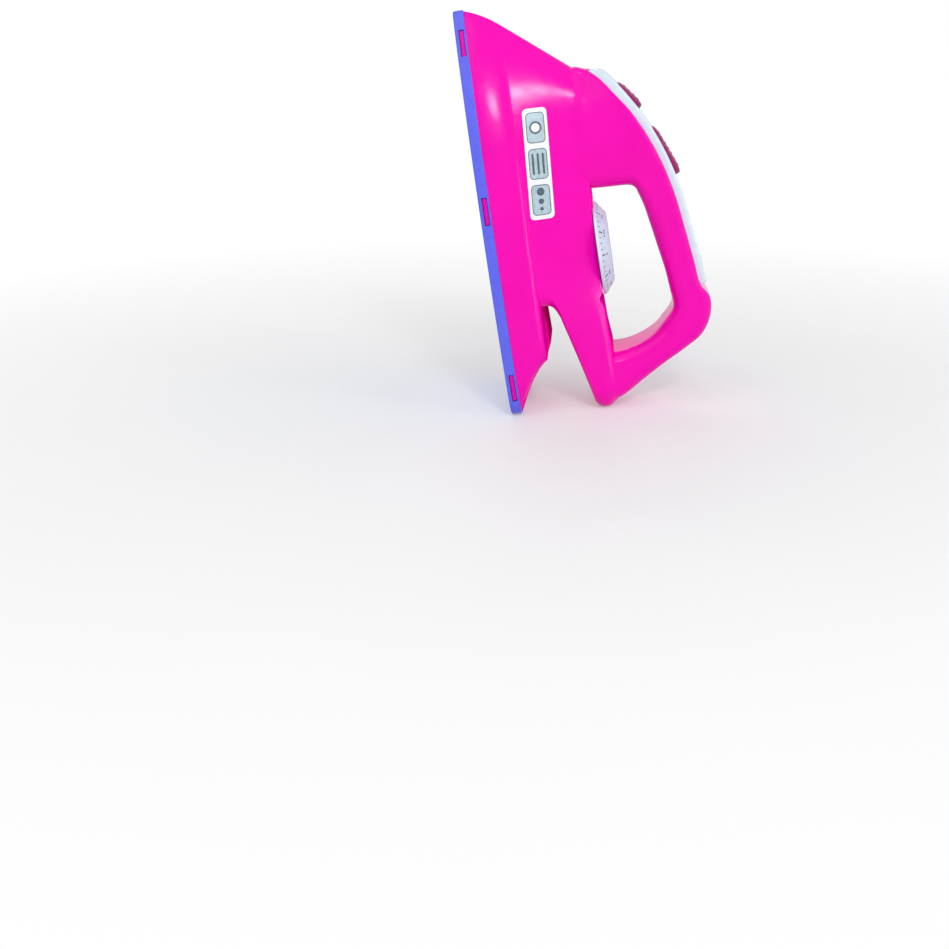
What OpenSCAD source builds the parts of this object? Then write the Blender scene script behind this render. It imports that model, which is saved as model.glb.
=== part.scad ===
// Toy iron that stands on its heel.
// Every piece is drawn with the sole flat: x from heel to toe, y to the left, z up from the sole.
// stand() then tips the whole iron up onto its heel and its rear foot.

/* [Sole] */
// Length of the sole from heel to toe
sole_length = 150; // [144:1:165]
// Width of the sole at its widest
sole_width = 60; // [57:1:70]
// Distance from the heel to the widest place
sole_wide_at = 25; // [18:1:32]
// Corner radius at the heel
heel_corner_r = 7; // [5:0.5:10]
// Thickness of the flat plate
sole_plate = 1.4; // [1.2:0.1:1.6]
// Height of the rim
rim_height = 4.2; // [4:0.1:5]
// Wall of the rim
rim_wall = 1.5; // [1.2:0.1:1.8]
// Length of each window in the rim
window_length = 10.4; // [8:0.2:11.4]
// Height of each window in the rim
window_height = 2; // [1.6:0.1:2.2]
// Distances of the windows from the heel
window_places = [11.5, 78, 138.5]; // [10:0.5:140]

/* [Body] */
// Wall of the moulded shells
wall = 2; // [1.6:0.1:2.4]
// Height of the crease between skirt and upper body
skirt_height = 17; // [16.6:0.2:19]
// How far each side of the skirt leans in up to the crease
skirt_lean = 2.4; // [1:0.2:4]
// Ledge at the crease
shoulder = 1.8; // [1:0.2:3]
// Length of the sloping heel end of the skirt
ramp_length = 18.2; // [14:0.2:22]
// Height of the deck under the handle
deck_height = 41.7; // [40:0.1:45]
// Width of the body at the deck
deck_width = 25.2; // [24.6:0.2:28]
// Lean of the nose from upright at the toe
toe_angle = 17; // [10:1:22]
// Lean of the nose from upright above the crease
nose_angle = 39; // [35:1:41]
// How far the gap behind the skirt reaches from the heel
gap_reach = 38.4; // [36:0.2:39]
// Height of the gap at its root
gap_height = 4.1; // [3.6:0.1:5]
// Width of the low platform behind the crease
platform_width = 24; // [16:1:30]
// Height of that platform
platform_height = 2; // [1:0.2:3]

/* [Rear foot] */
// Drop of the foot tip's centre under the deck
foot_drop = 5.4; // [4.6:0.1:6]
// Radius of the foot tip in side view
foot_r = 4.6; // [4:0.2:5]
// Centre of the foot tip behind the heel
foot_back = 1.4; // [0.4:0.2:2.4]
// Width of the foot
foot_width = 35; // [32:1:40]

/* [Handle] */
// Width of the handle
handle_width = 24.4; // [23:0.2:26]
// Width of the handle at its bow
front_width = 8.6; // [8:0.2:10]
// Edge radius of the handle
handle_edge_r = 5.5; // [3.5:0.5:7]
// Edge radius beside the cover strip
strip_edge_r = 2.6; // [2.2:0.1:3]
// How much wider the handle is where it meets the foot
handle_flare = 2.6; // [1:0.2:3.6]

/* [Cover strip] */
// Width of the strip
strip_width = 17; // [15:0.5:18]
// Thickness of the strip
strip_thick = 3.6; // [3:0.2:4.4]
// How deep the strip is let into the handle
strip_sink = 0.8; // [0.4:0.1:1]
// Radius of the fixing pegs
peg_r = 1.5; // [1.2:0.1:2]
// Length of the fixing pegs below the strip
peg_length = 3; // [2:0.2:4]
// Distances of the pegs from the heel
peg_places = [45, 66]; // [42:1:70]

/* [Buttons] */
// Length of the front button
front_button_length = 13; // [11:0.5:14]
// Length of the rear button
rear_button_length = 20.5; // [18:0.5:22]
// Distance of the front button from the heel
front_button_at = 108.2; // [107:0.2:109]
// Distance of the rear button from the heel
rear_button_at = 86.6; // [86:0.2:88]
// Width of both buttons
button_width = 8.6; // [7:0.2:9.4]
// Height of the buttons over the strip
button_proud = 2; // [1.4:0.1:2.6]
// Travel of the buttons
button_travel = 1.4; // [1:0.1:1.6]
// Side clearance of the buttons in the strip
button_gap = 0.3; // [0.2:0.05:0.5]
// Flange around the foot of each button
button_flange = 1.2; // [0.8:0.1:1.6]
// Thickness of that flange
button_flange_thick = 1.2; // [1:0.1:1.6]
// Radius of the stem under each button
stem_r = 1.8; // [1.5:0.1:2.2]
// Offset of the rear button's stem toward the toe
rear_stem_offset = 4; // [3:0.5:5]
// Depth of the switch boards below the handle's outer face
switch_depth = 10.6; // [10:0.2:11]

/* [Switches] */
// Side of the square switch body
switch_side = 4.5; // [4:0.1:5]
// Height of the switch body
switch_body = 3.2; // [2.8:0.1:3.6]
// Height of the switch plunger
plunger_height = 1; // [0.8:0.1:1.2]
// Radius of the switch plunger
plunger_r = 1.2; // [1:0.1:1.5]
// Length of each switch board
switch_board_length = 11; // [10:0.5:11.5]
// Width of each switch board
switch_board_width = 13; // [12:0.2:13.4]
// Mean radius of the button springs
spring_r = 3.9; // [3.7:0.1:4.2]
// Wire diameter of the button springs
spring_wire = 0.6; // [0.4:0.05:0.7]
// Turns of each button spring
spring_turns = 4; // [3:0.5:5]

/* [Dial] */
// Distance of the dial's axis from the heel
dial_at = 54.6; // [54:0.1:56]
// Radius of the dial at its base
dial_r = 18; // [16:0.5:18.5]
// Radius of the dial at its top
dial_top_r = 13; // [11:0.5:14]
// Height of the dial
dial_height = 4.9; // [4:0.1:6]
// Height of the upright edge at the dial's base
dial_edge = 1.1; // [0.6:0.1:1.6]
// Number of notches around the dial's top
dial_notches = 12; // [8:1:16]
// Radius of each notch
dial_notch_r = 0.7; // [0.4:0.1:1]
// Space around the dial in its recess
recess_gap = 2.5; // [1.5:0.1:3]
// Depth of the recess in the deck
recess_depth = 2.4; // [2:0.1:2.8]
// Lift of the dial over the floor of the recess
dial_lift = 1.7; // [1:0.1:2.2]
// Radius of the dial's hub
hub_r = 5; // [4.6:0.1:5.6]
// Radius of the light well in the hub
well_r = 3.2; // [3:0.1:3.4]
// Radius of the shoulder that the dial rides on
dial_shoulder_r = 11.5; // [10:0.5:12]
// Radial running clearance of the hub
hub_fit = 0.08; // [0.04:0.01:0.1]
// End play of the dial
dial_play = 0.15; // [0.1:0.05:0.25]
// Thickness of the retaining ring
retainer_thick = 1.2; // [1:0.1:1.5]
// Radius of the retaining ring
retainer_r = 8; // [7.6:0.1:8.4]
// Depth of the ring's groove in the hub
retainer_groove = 0.6; // [0.4:0.1:0.8]
// Radius of the click notches
click_notch_r = 0.9; // [0.7:0.1:1.1]
// Thickness of the click spring
click_thick = 0.4; // [0.3:0.05:0.5]
// Length of the click spring
click_length = 22; // [20:0.5:24]

/* [Battery] */
// Diameter of a cell
cell_d = 10.5; // [10:0.1:10.8]
// Length of a cell with its nub
cell_length = 44.5; // [42:0.1:45.5]
// Diameter of the nub
nub_d = 3.8; // [3.4:0.1:4.4]
// Height of the nub
nub_height = 0.9; // [0.8:0.1:1.2]
// Play around the cells
cell_gap = 0.5; // [0.3:0.1:0.8]
// Length of the contact springs
contact_spring = 5.5; // [5:0.1:6.5]
// Mean radius of the contact springs
contact_spring_r = 3; // [2.6:0.1:3.6]
// Turns of the contact springs
contact_turns = 4; // [3:0.5:4]
// Thickness of the contact plates
contact_plate = 0.4; // [0.3:0.05:0.5]
// Side of the contact plates
contact_side = 8; // [7:0.5:9]
// Height of the solder tabs over the box
tab_height = 2; // [1.5:0.1:3]
// Width of the solder tabs
tab_width = 3; // [2:0.1:4]
// Wall of the battery box
box_wall = 1.6; // [1.4:0.1:2]
// Distance of the battery box from the heel
box_at = 40; // [39:0.5:41]
// Room behind the box for the door screw
door_screw_room = 9; // [8.6:0.1:9.6]
// Clearance around the door
door_gap = 0.25; // [0.15:0.05:0.4]
// Reach of the door's tongue
tongue_reach = 2; // [1.5:0.1:2.4]
// Width of the door's tongue
tongue_width = 5; // [4:0.2:5.4]
// Thickness of the door's tongue
tongue_thick = 1; // [0.8:0.1:1.2]

/* [Boards and sound] */
// Length of the main board
board_length = 42; // [40:0.5:44]
// Width of the main board
board_width = 22; // [20:0.5:24]
// Thickness of all boards
board_thick = 1.2; // [1:0.1:1.6]
// Room between the main board's lower face and the underside of the deck
board_room = 13.8; // [12.8:0.1:14.6]
// Radius of the board posts
post_r = 2.6; // [2.2:0.1:3]
// Diameter of the lamp
lamp_d = 5; // [4:0.1:5.4]
// Radius of the speaker
speaker_r = 10; // [9:0.1:10.4]
// Height of the speaker frame without its magnet
speaker_height = 3.4; // [3:0.1:4]
// Radius of the magnet
magnet_r = 5.5; // [4.5:0.1:6]
// Height of the magnet
magnet_height = 3; // [2:0.1:3.6]
// Distance of the speaker from the heel
speaker_at = 108; // [107.5:0.1:109]
// Number of sound holes in the outer ring
sound_holes = 6; // [5:1:8]
// Diameter of the sound holes
sound_hole_d = 2; // [1.6:0.1:2.4]
// Wall of the speaker's seat ring
seat_wall = 1.2; // [1:0.1:1.4]
// Diameter of the leads
lead_d = 1.3; // [1:0.1:1.5]

/* [Screws] */
// Radius of the shell screws' shank
screw_r = 1.25; // [1.1:0.05:1.4]
// Radius of the shell screws' head
screw_head_r = 2.6; // [2.3:0.1:2.8]
// Height of the screw heads
screw_head = 1.6; // [1.4:0.1:1.8]
// Length of the shell screws under the head
screw_length = 9; // [8:0.2:9.4]
// Length of the door screw under its head
door_screw_length = 9; // [8:0.2:10]
// Radius of the screw bosses
boss_r = 3.4; // [3.2:0.1:3.8]
// Depth of the head seats from the parting plane
head_seat = 4.5; // [4:0.1:5]
// Clearance of a screw in its bore
screw_fit = 0.05; // [0.03:0.01:0.1]
// Radius of the board screws' shank
board_screw_r = 1; // [0.9:0.05:1.1]
// Length of the board screws under the head
board_screw_length = 5; // [4:0.5:6]

/* [Stickers] */
// Length of a sticker
sticker_length = 40; // [36:1:42]
// Height of a sticker along the side
sticker_height = 9; // [8:0.2:10]
// Distance of the sticker's middle from the heel
sticker_at = 91.5; // [90:0.5:94]
// Height of the sticker's lower edge over the crease
sticker_rise = 2.4; // [1.6:0.1:3.2]
// Slant of the sticker along the side, up toward the toe
sticker_turn = 3.4; // [0:0.2:5]
// Thickness of a sticker
sticker_thick = 0.25; // [0.15:0.05:0.4]

/* [Hidden] */
$fn = 48;

// Overrun of every cut past the face that it opens
over = 1;
// Gap between fixed pieces that lie close together
close_fit = 0.1;
// Height of the step at the crease
crease = 0.4;

// Ribs of the handle from the nose over the grip to the foot.
// Each is the inner edge, then the outer edge: distance from the heel and rise over the deck.
handle_ribs = [
    [79.7, -12.6, 111.7, -12.3],
    [78.4, 0.1, 123.2, -0.4],
    [78, 6.1, 121.9, 3.6],
    [77.8, 11.1, 121.2, 6],
    [77.4, 14.6, 114.1, 12.2],
    [76.2, 16.4, 105.4, 18.1],
    [73.9, 17.3, 95.9, 23.1],
    [69.4, 18.7, 85.3, 27.3],
    [62.4, 20.1, 72.6, 30.7],
    [53.4, 21.8, 58.3, 33],
    [43.4, 23.6, 45.3, 34.9],
    [35.4, 24.5, 35.7, 36.5],
    [32, 24.9, 31.7, 39],
    [29, 24.8, 26.7, 39.3],
    [26.6, 23.3, 21.2, 37.6],
    [24, 20.8, 16.5, 34.2],
    [20.6, 17.2, 12.3, 27.5],
    [17.7, 12, 7.8, 18.7],
    [16, 6.1, 2.5, 9.8],
    [15.6, 0.6, -2.4, 1.4],
    [16.1, -5.2, -3.6, -3.6]
];
seat_first = 3;
seat_last = 11;
last_rib = len(handle_ribs) - 1;

function mix(a, b, q) = a + (b - a) * q;
function clip(q) = min(1, max(0, q));
function ease(q) = let (c = clip(q)) c * c * (3 - 2 * c);

// Sides of the body

// Share of the full width that is left between the widest place and the nose
function ogive(q, a, b) = pow(max(0, 1 - pow(clip(q), a)), b);
sole_bow = 1.6;
sole_point = 0.8;
deck_bow = 4;
deck_point = 0.5;
skirt_top = skirt_height - crease;
foot_height = deck_height - foot_drop;

// Front end of the body at a height over the sole
toe_inset = 0.5;
lean_rise = skirt_height - rim_height;
function nose_end(t) =
    let (low = clip((t - rim_height) / lean_rise) * lean_rise)
    let (bend = (tan(nose_angle) - tan(toe_angle)) / (2 * lean_rise))
    sole_length - toe_inset - low * (tan(toe_angle) + bend * low)
        - max(0, t - skirt_height) * tan(nose_angle);

// Rear end of the body: the skirt's ramp, then the root of the gap, the post and the foot
ramp_bow = 1.5;
post_root = skirt_height + gap_height;
root_rise = 2.6;
root_run = 5.3;
rear_profile = [
    [skirt_height, gap_reach],
    [post_root - 1.6, gap_reach + 0.2],
    [post_root, gap_reach - 0.4],
    [post_root + 1, gap_reach - 1.5],
    [post_root + root_rise, gap_reach - root_run],
    for (a = [-75, -40, 0, 40])
        [foot_height + foot_r * sin(a), -foot_back - foot_r * cos(a)],
    [deck_height, -foot_back - 2.2]
];
function ramp_end(t) =
    let (q = clip((t - rim_height) / (skirt_top - rim_height)))
    mix(toe_inset, ramp_length, 1 - pow(1 - q, ramp_bow));
function rear_end(t) = t < skirt_height ? ramp_end(t) : lookup(t, rear_profile);
root_corner_r = 5;
foot_corner_r = 9;
upper_corners = [
    [skirt_height, heel_corner_r],
    [post_root + root_rise, root_corner_r],
    [foot_height, foot_corner_r]
];
function rear_corner(t) = t < skirt_height ? heel_corner_r : lookup(t, upper_corners);

// Half width of the body at a distance from the heel and a height over the sole
skirt_top_half = sole_width / 2 - skirt_lean;
foot_taper = 2.4;
post_blend = 3;
side_bow = 1.2;
function skirt_half(t) =
    sole_width / 2 - skirt_lean * pow(clip((t - rim_height) / (skirt_top - rim_height)), ramp_bow);
function foot_half(t) =
    foot_width / 2 - foot_taper * pow(clip((t - foot_height) / (deck_height - foot_height)), 2);
function post_share(s) = ease((gap_reach + post_blend - s) / (gap_reach + 2 * post_blend));
function rise_share(t) = pow(clip((t - skirt_height) / (deck_height - skirt_height)), side_bow);
function toward_nose(s, t) = (s - sole_wide_at) / (nose_end(t) - sole_wide_at);
function side_half(s, t) = mix(
    (skirt_top_half - shoulder) * ogive(toward_nose(s, t), sole_bow, sole_point),
    deck_width / 2 * ogive(toward_nose(s, t), deck_bow, deck_point),
    rise_share(t));
function body_half(s, t) = t < skirt_height
    ? skirt_half(t) * ogive(toward_nose(s, t), sole_bow, sole_point)
    : mix(side_half(s, t), foot_half(t), post_share(s));

// The same three with a wall taken off all round
wall_turns = [-90:30:90];
function inner_nose(t) = min([for (a = wall_turns) nose_end(t + wall * sin(a)) - wall * cos(a)]);
function inner_rear(t) = max([for (a = wall_turns) rear_end(t + wall * sin(a)) + wall * cos(a)]);
function inner_half(s, t) = min([for (a = wall_turns) body_half(s, t + wall * sin(a)) - wall * cos(a)]);

// One half of a level outline, from the middle of the rear end round the side to the nose
corner_steps = 4;
side_steps = 14;
function level_ring(t, rear, nose, corner, base, inside) = concat(
    [[rear, base, t]],
    [for (i = [0:corner_steps])
        let (a = 90 * i / corner_steps)
        let (s = rear + corner * (1 - cos(a)))
        [s, max(0.2, (inside ? inner_half(s, t) : body_half(s, t)) - corner * (1 - sin(a))), t]],
    [for (i = [1:side_steps - 1])
        let (s = mix(rear + corner, nose, 1 - pow(1 - i / side_steps, 1.5)))
        [s, max(0.1, inside ? inner_half(s, t) : body_half(s, t)), t]],
    [[nose, base, t]]
);

skirt_levels = [for (q = [0:0.2:1]) mix(rim_height, skirt_top, q)];
upper_levels = [for (p = rear_profile) p[0]];
body_levels = concat(skirt_levels, upper_levels);
body_rings = [
    for (t = body_levels) level_ring(t, rear_end(t), nose_end(t), rear_corner(t), 0, false)
];

recess_floor = deck_height - recess_depth;
deck_under = recess_floor - wall;
hollow_levels = concat(
    [rim_height - over],
    [for (q = [0.25:0.25:1]) mix(rim_height, skirt_height - wall - 0.1, q)],
    [for (q = [0:0.125:1]) mix(skirt_height - wall + 0.1, deck_under, q)]
);
hollow_rings = [
    for (t = hollow_levels)
        level_ring(t, inner_rear(t), inner_nose(t), max(1, rear_corner(t) - wall), -over, true)
];

// Handle

function rib_inner(k) = [handle_ribs[k][0], deck_height + handle_ribs[k][1]];
function rib_outer(k) = [handle_ribs[k][2], deck_height + handle_ribs[k][3]];
function turned(v) = [-v[1], v[0]] / norm(v);
function inner_turn(k) = turned(rib_inner(min(k + 1, last_rib)) - rib_inner(max(k - 1, 0)));
function outer_turn(k) = turned(rib_outer(min(k + 1, last_rib)) - rib_outer(max(k - 1, 0)));
function rib_half(k) = handle_width / 2 + handle_flare * pow(max(0, (k - 15) / (last_rib - 15)), 1.5);

bow_ribs = 3.6;
bow_start = seat_first - 0.6;
function front_half(k) = mix(front_width / 2, rib_half(k), ease((k - bow_start) / bow_ribs));
function top_edge_r(k) = mix(strip_edge_r, handle_edge_r, ease((k - seat_last) / 3));

// Half of a rounded section between an inner and an outer edge
edge_steps = 3;
least_edge_r = 0.6;
round_share = 0.8;
side_swell = 2.2;
side_shares = [0.3, 0.55, 0.78];
function rib_ring(inner, outer, half, front, radius, top_radius, base) =
    let (depth = norm(outer - inner) / 2)
    let (mid = (outer + inner) / 2)
    let (way = (outer - inner) / (2 * depth))
    let (r = min(radius, depth * round_share))
    let (tr = min(top_radius, depth * round_share))
    [for (p = concat(
        [[-depth, base]],
        [for (i = [0:edge_steps]) let (a = 90 * i / edge_steps)
            [-depth + r - r * cos(a), half - r + r * sin(a)]],
        [for (q = side_shares) [mix(r - depth, depth - tr, q), mix(half, front, pow(q, side_swell))]],
        [for (i = [0:edge_steps]) let (a = 90 * i / edge_steps)
            [depth - tr + tr * sin(a), front - tr + tr * cos(a)]],
        [[depth, base]]
    )) [mid[0] + way[0] * p[0], p[1], mid[1] + way[1] * p[0]]];
handle_rings = [
    for (k = [0:last_rib])
        rib_ring(rib_inner(k), rib_outer(k), rib_half(k), front_half(k), handle_edge_r, top_edge_r(k), 0)
];
handle_hollow_rings = [
    for (k = [0:last_rib])
        rib_ring(rib_inner(k) - wall * inner_turn(k), rib_outer(k) + wall * outer_turn(k),
            rib_half(k) - wall, front_half(k) - wall, handle_edge_r - wall,
            max(least_edge_r, top_edge_r(k) - wall), -over)
];

// Seat of the cover strip on the handle
seat_table = [for (k = [seat_last:-1:seat_first]) rib_outer(k)];
function seat_rise(s) = lookup(s, seat_table);
function seat_slope(s) = atan((seat_rise(s + 2) - seat_rise(s - 2)) / 4);
function seat_sag(s, reach) =
    let (m = tan(seat_slope(s)))
    max([for (d = [-reach, reach])
        (seat_rise(s) + m * d * cos(seat_slope(s)) - seat_rise(s + d * cos(seat_slope(s))))
            * cos(seat_slope(s))]);

// Standing pose: the heel edge and the foot tip touch the floor
stand_tilt = max([for (p = rear_profile) atan2(-p[1], p[0])]);
function stand_x_of(p) = p[1] * cos(stand_tilt) - p[0] * sin(stand_tilt);
stand_left = stand_x_of([sole_length, 0]);
stand_right = max([for (k = [0:last_rib]) stand_x_of(rib_outer(k))]);
stand_shift = -(stand_left + stand_right) / 2;
module stand() {
    translate([stand_shift, 0, 0])
        rotate([0, 90 - stand_tilt, 0])
        rotate([0, 0, 180])
        children();
}

// Solid skin over rings of equal count
module skin(rings) {
    m = len(rings[0]);
    last = (len(rings) - 1) * m;
    sides = [
        for (i = [0:len(rings) - 2], j = [0:m - 1])
            let (a = i * m + j)
            let (b = i * m + (j + 1) % m)
            each [[a, b, a + m], [b, b + m, a + m]]
    ];
    ends = [[for (j = [m - 1:-1:0]) j], [for (j = [0:m - 1]) last + j]];
    polyhedron([for (r = rings) each r], concat(sides, ends), convexity = 10);
}

// Round lead along points in a plane of constant y
lead_sides = 8;
module lead(path, y) {
    n = len(path) - 1;
    rings = [
        for (k = [0:n])
            let (v = turned(path[min(k + 1, n)] - path[max(k - 1, 0)]))
            [for (j = [0:lead_sides - 1])
                let (a = 360 * (j + 0.5) / lead_sides)
                [path[k][0] + v[0] * lead_d / 2 * cos(a), y + lead_d / 2 * sin(a),
                    path[k][1] + v[1] * lead_d / 2 * cos(a)]]
    ];
    skin(rings);
}

// Coil spring along z from its foot up to its length
coil_rings = 8;
coil_sides = 6;
function coil_point(r, rise, q, turns) = [r * cos(360 * turns * q), r * sin(360 * turns * q), rise * q];
module coil(r, wire, length, turns) {
    rise = length - wire;
    n = round(turns * coil_rings);
    slant = atan(rise / (2 * PI * r * turns));
    rings = [
        for (i = [0:n])
            let (c = coil_point(r, rise, i / n, turns))
            let (turn = 360 * turns * i / n)
            [for (j = [0:coil_sides - 1])
                let (a = 360 * j / coil_sides)
                let (u = wire / 2 * cos(a))
                let (w = wire / 2 * sin(a))
                [c[0] + u * cos(turn) + w * sin(slant) * sin(turn),
                    c[1] + u * sin(turn) - w * sin(slant) * cos(turn),
                    c[2] + wire / 2 + w * cos(slant)]]
    ];
    least = min([
        for (i = [0:n - coil_rings])
            norm(coil_point(r, rise, i / n, turns) - coil_point(r, rise, (i + coil_rings) / n, turns))
    ]);
    echo(least_gap_between_turns = least - wire);
    skin(rings);
}

// Bar with round ends along x
module stadium(length, width, height) {
    linear_extrude(height) {
        square([length - width, width], center = true);
        for (side = [-1, 1])
            translate([side * (length - width) / 2, 0])
                circle(d = width);
    }
}

// Frame on the handle's outer face: z outward, x toward the toe
module at_seat(s) {
    translate([s, 0, seat_rise(s)])
        rotate([0, -seat_slope(s), 0])
        children();
}

// Frame on the outer edge of the sole or body: x along the edge, y outward
function edge_half(s) =
    sole_width / 2 * ogive((s - sole_wide_at) / (sole_length - sole_wide_at), sole_bow, sole_point);
module at_edge(s) {
    translate([s, edge_half(s), 0])
        rotate([0, 0, atan((edge_half(s + 1) - edge_half(s - 1)) / 2)])
        children();
}

// Shells

nose_boss_at = 117;
nose_boss_rise = 7;
pillar_boss_at = 114;
pillar_boss_rise = 2.6;
grip_boss_at = 20.4;
grip_boss_rise = 27.2;
foot_boss_at = 4.5;
foot_boss_rise = 1;
heel_boss_at = 23;
heel_boss_rise = 5.4;
boss_places = [
    [nose_boss_at, skirt_height + nose_boss_rise],
    [pillar_boss_at, deck_height + pillar_boss_rise],
    [grip_boss_at, deck_height + grip_boss_rise],
    [foot_boss_at, foot_height + foot_boss_rise],
    [heel_boss_at, rim_height + heel_boss_rise]
];
pilot_spare = 0.6;
module at_bosses() {
    for (p = boss_places)
        translate([p[0], 0, p[1]])
            rotate([-90, 0, 0])
            children();
}

tab_gap = 0.2;
tab_thick = 1.2;
tab_root = 3;
nub_setback = 0.7;
tab_length = window_length - 2 * tab_gap;
module snap_tabs(top) {
    for (s = window_places)
        at_edge(s) {
            translate([-tab_length / 2, -rim_wall - tab_gap - tab_thick, sole_plate + tab_gap])
                cube([tab_length, tab_thick, top - sole_plate - tab_gap]);
            translate([-tab_length / 2, -rim_wall - tab_gap - tab_thick / 2, sole_plate + tab_gap])
                cube([tab_length, rim_wall + tab_gap + tab_thick / 2 - nub_setback,
                    window_height - 2 * tab_gap]);
        }
}
module snap_roots() {
    for (s = window_places)
        at_edge(s)
            translate([-tab_length / 2, -rim_wall - tab_gap - tab_thick, rim_height])
            cube([tab_length, rim_wall + tab_gap + tab_thick, tab_root]);
}

rail_height = 1.6;
rail_reach = 1.6;
switch_half = switch_board_width / 2;
module switch_rails(s, offset) {
    at_seat(s)
        translate([
            offset - switch_board_length / 2,
            switch_half - rail_reach,
            -switch_depth - board_thick - rail_height
        ])
        cube([switch_board_length, handle_width / 2, rail_height]);
}

click_y = retainer_r + 0.2;
click_rib = 3;
click_rib_inset = 1.2;
click_top = deck_under - 0.2;
click_height = 3;
module click_ribs() {
    for (side = [-1, 1])
        translate([
            dial_at + side * (click_length - click_rib) / 2 - click_rib / 2,
            click_y - click_rib_inset,
            click_top - click_height
        ])
            cube([click_rib, click_rib, click_height + over]);
}

platform_setback = 4.6;
module outer_half() {
    skin(body_rings);
    skin(handle_rings);
    translate([ramp_length + platform_setback, 0, skirt_height - wall])
        cube([
            gap_reach + wall - ramp_length - platform_setback,
            platform_width / 2,
            wall + platform_height
        ]);
}

module hollow_half() {
    skin(hollow_rings);
    skin(handle_hollow_rings);
}

module shell_cuts() {
    translate([dial_at, 0, recess_floor])
        cylinder(r = dial_r + recess_gap, h = recess_depth + over);
    translate([dial_at, 0, deck_under - over])
        cylinder(r = hub_r + hub_fit, h = wall + 2 * over);
    strip_bar(close_fit);
    for (s = peg_places)
        at_seat(s)
            translate([0, 0, -strip_sink - peg_length - over])
            cylinder(r = peg_r + close_fit, h = peg_length + 2 * over);
    button_slot(front_button_at, front_button_length);
    button_slot(rear_button_at, rear_button_length);
}

slot_spare = button_flange + button_gap;
module button_slot(s, length) {
    at_seat(s)
        translate([0, 0, -strip_sink - wall - 2 * over])
        stadium(length + 2 * slot_spare, button_width + 2 * slot_spare, wall + strip_sink + 4 * over);
}

module left_shell() {
    color("deeppink") stand() {
        difference() {
            outer_half();
            difference() {
                hollow_half();
                at_bosses() cylinder(r = boss_r, h = sole_width);
                snap_roots();
                switch_rails(front_button_at, 0);
                switch_rails(rear_button_at, rear_stem_offset);
                click_ribs();
            }
            shell_cuts();
            at_bosses()
                translate([0, 0, -over])
                cylinder(r = screw_r + screw_fit, h = screw_length - head_seat + over + pilot_spare);
            click_leaf(close_fit / 2);
        }
        snap_tabs(rim_height + tab_root / 2);
    }
}

module right_shell() {
    color("deeppink") stand() mirror([0, 1, 0]) {
        difference() {
            outer_half();
            difference() {
                hollow_half();
                at_bosses() cylinder(r = boss_r, h = sole_width);
                snap_roots();
                switch_rails(front_button_at, 0);
                switch_rails(rear_button_at, rear_stem_offset);
            }
            shell_cuts();
            at_bosses() {
                translate([0, 0, -over])
                    cylinder(r = screw_r + 2 * screw_fit, h = sole_width);
                translate([0, 0, head_seat])
                    cylinder(r = screw_head_r + close_fit, h = sole_width);
            }
        }
        snap_tabs(rim_height + tab_root / 2);
    }
}

module shell_screws() {
    color("silver") stand()
        at_bosses() {
            translate([0, 0, -head_seat])
                cylinder(r = screw_r, h = screw_length);
            translate([0, 0, -head_seat - screw_head])
                cylinder(r = screw_head_r, h = screw_head);
        }
}

// Soleplate

outline_steps = 22;
function sole_side(inset) = concat(
    [for (i = [0:corner_steps])
        let (a = 90 * i / corner_steps)
        let (r = heel_corner_r - inset)
        [inset + r * (1 - cos(a)), sole_width / 2 - inset - r * (1 - sin(a))]],
    [for (i = [1:outline_steps - 1])
        let (q = 1 - pow(1 - i / outline_steps, 1.5))
        let (s = mix(heel_corner_r, sole_length - 2 * inset, q))
        let (bow = (s - sole_wide_at) / (sole_length - 2 * inset - sole_wide_at))
        [s, (sole_width / 2 - inset) * ogive(bow, sole_bow, sole_point)]]
);
module sole_outline(inset) {
    half = sole_side(inset);
    n = len(half) - 1;
    polygon(concat(half, [[sole_length - 2 * inset, 0]], [for (i = [n:-1:0]) [half[i][0], -half[i][1]]]));
}

box_in_length = cell_length + contact_spring + 2 * contact_plate;
box_in_width = 2 * cell_d + 3 * cell_gap;
box_front = box_at + 2 * box_wall + box_in_length;
door_rear = box_at - door_screw_room;
door_front = box_front - box_wall;
door_screw_at = box_at - door_screw_room / 2;
seat_ring_height = 2.6;

module soleplate() {
    color("slateblue") stand() {
        difference() {
            linear_extrude(rim_height) sole_outline(0);
            translate([0, 0, sole_plate]) linear_extrude(rim_height) sole_outline(rim_wall);
            for (side = [0, 1])
                mirror([0, side, 0])
                for (s = window_places)
                    at_edge(s)
                    translate([-window_length / 2, -rim_wall - over, sole_plate])
                    cube([window_length, rim_wall + 2 * over, window_height]);
            translate([door_rear - door_gap, -box_in_width / 2 - door_gap, -over])
                cube([
                    door_front - door_rear + 2 * door_gap,
                    box_in_width + 2 * door_gap,
                    sole_plate + 2 * over
                ]);
            translate([speaker_at, 0, -over]) {
                cylinder(d = sound_hole_d, h = sole_plate + 2 * over);
                for (i = [0:sound_holes - 1])
                    rotate([0, 0, 360 * i / sound_holes])
                    translate([speaker_r / 2, 0, 0])
                    cylinder(d = sound_hole_d, h = sole_plate + 2 * over);
            }
        }
        translate([speaker_at, 0, sole_plate / 2])
            difference() {
                cylinder(r = speaker_r + close_fit + seat_wall, h = seat_ring_height + sole_plate / 2);
                translate([0, 0, sole_plate / 2])
                    cylinder(r = speaker_r + close_fit, h = seat_ring_height + over);
            }
    }
}

// Cover strip and buttons

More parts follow.
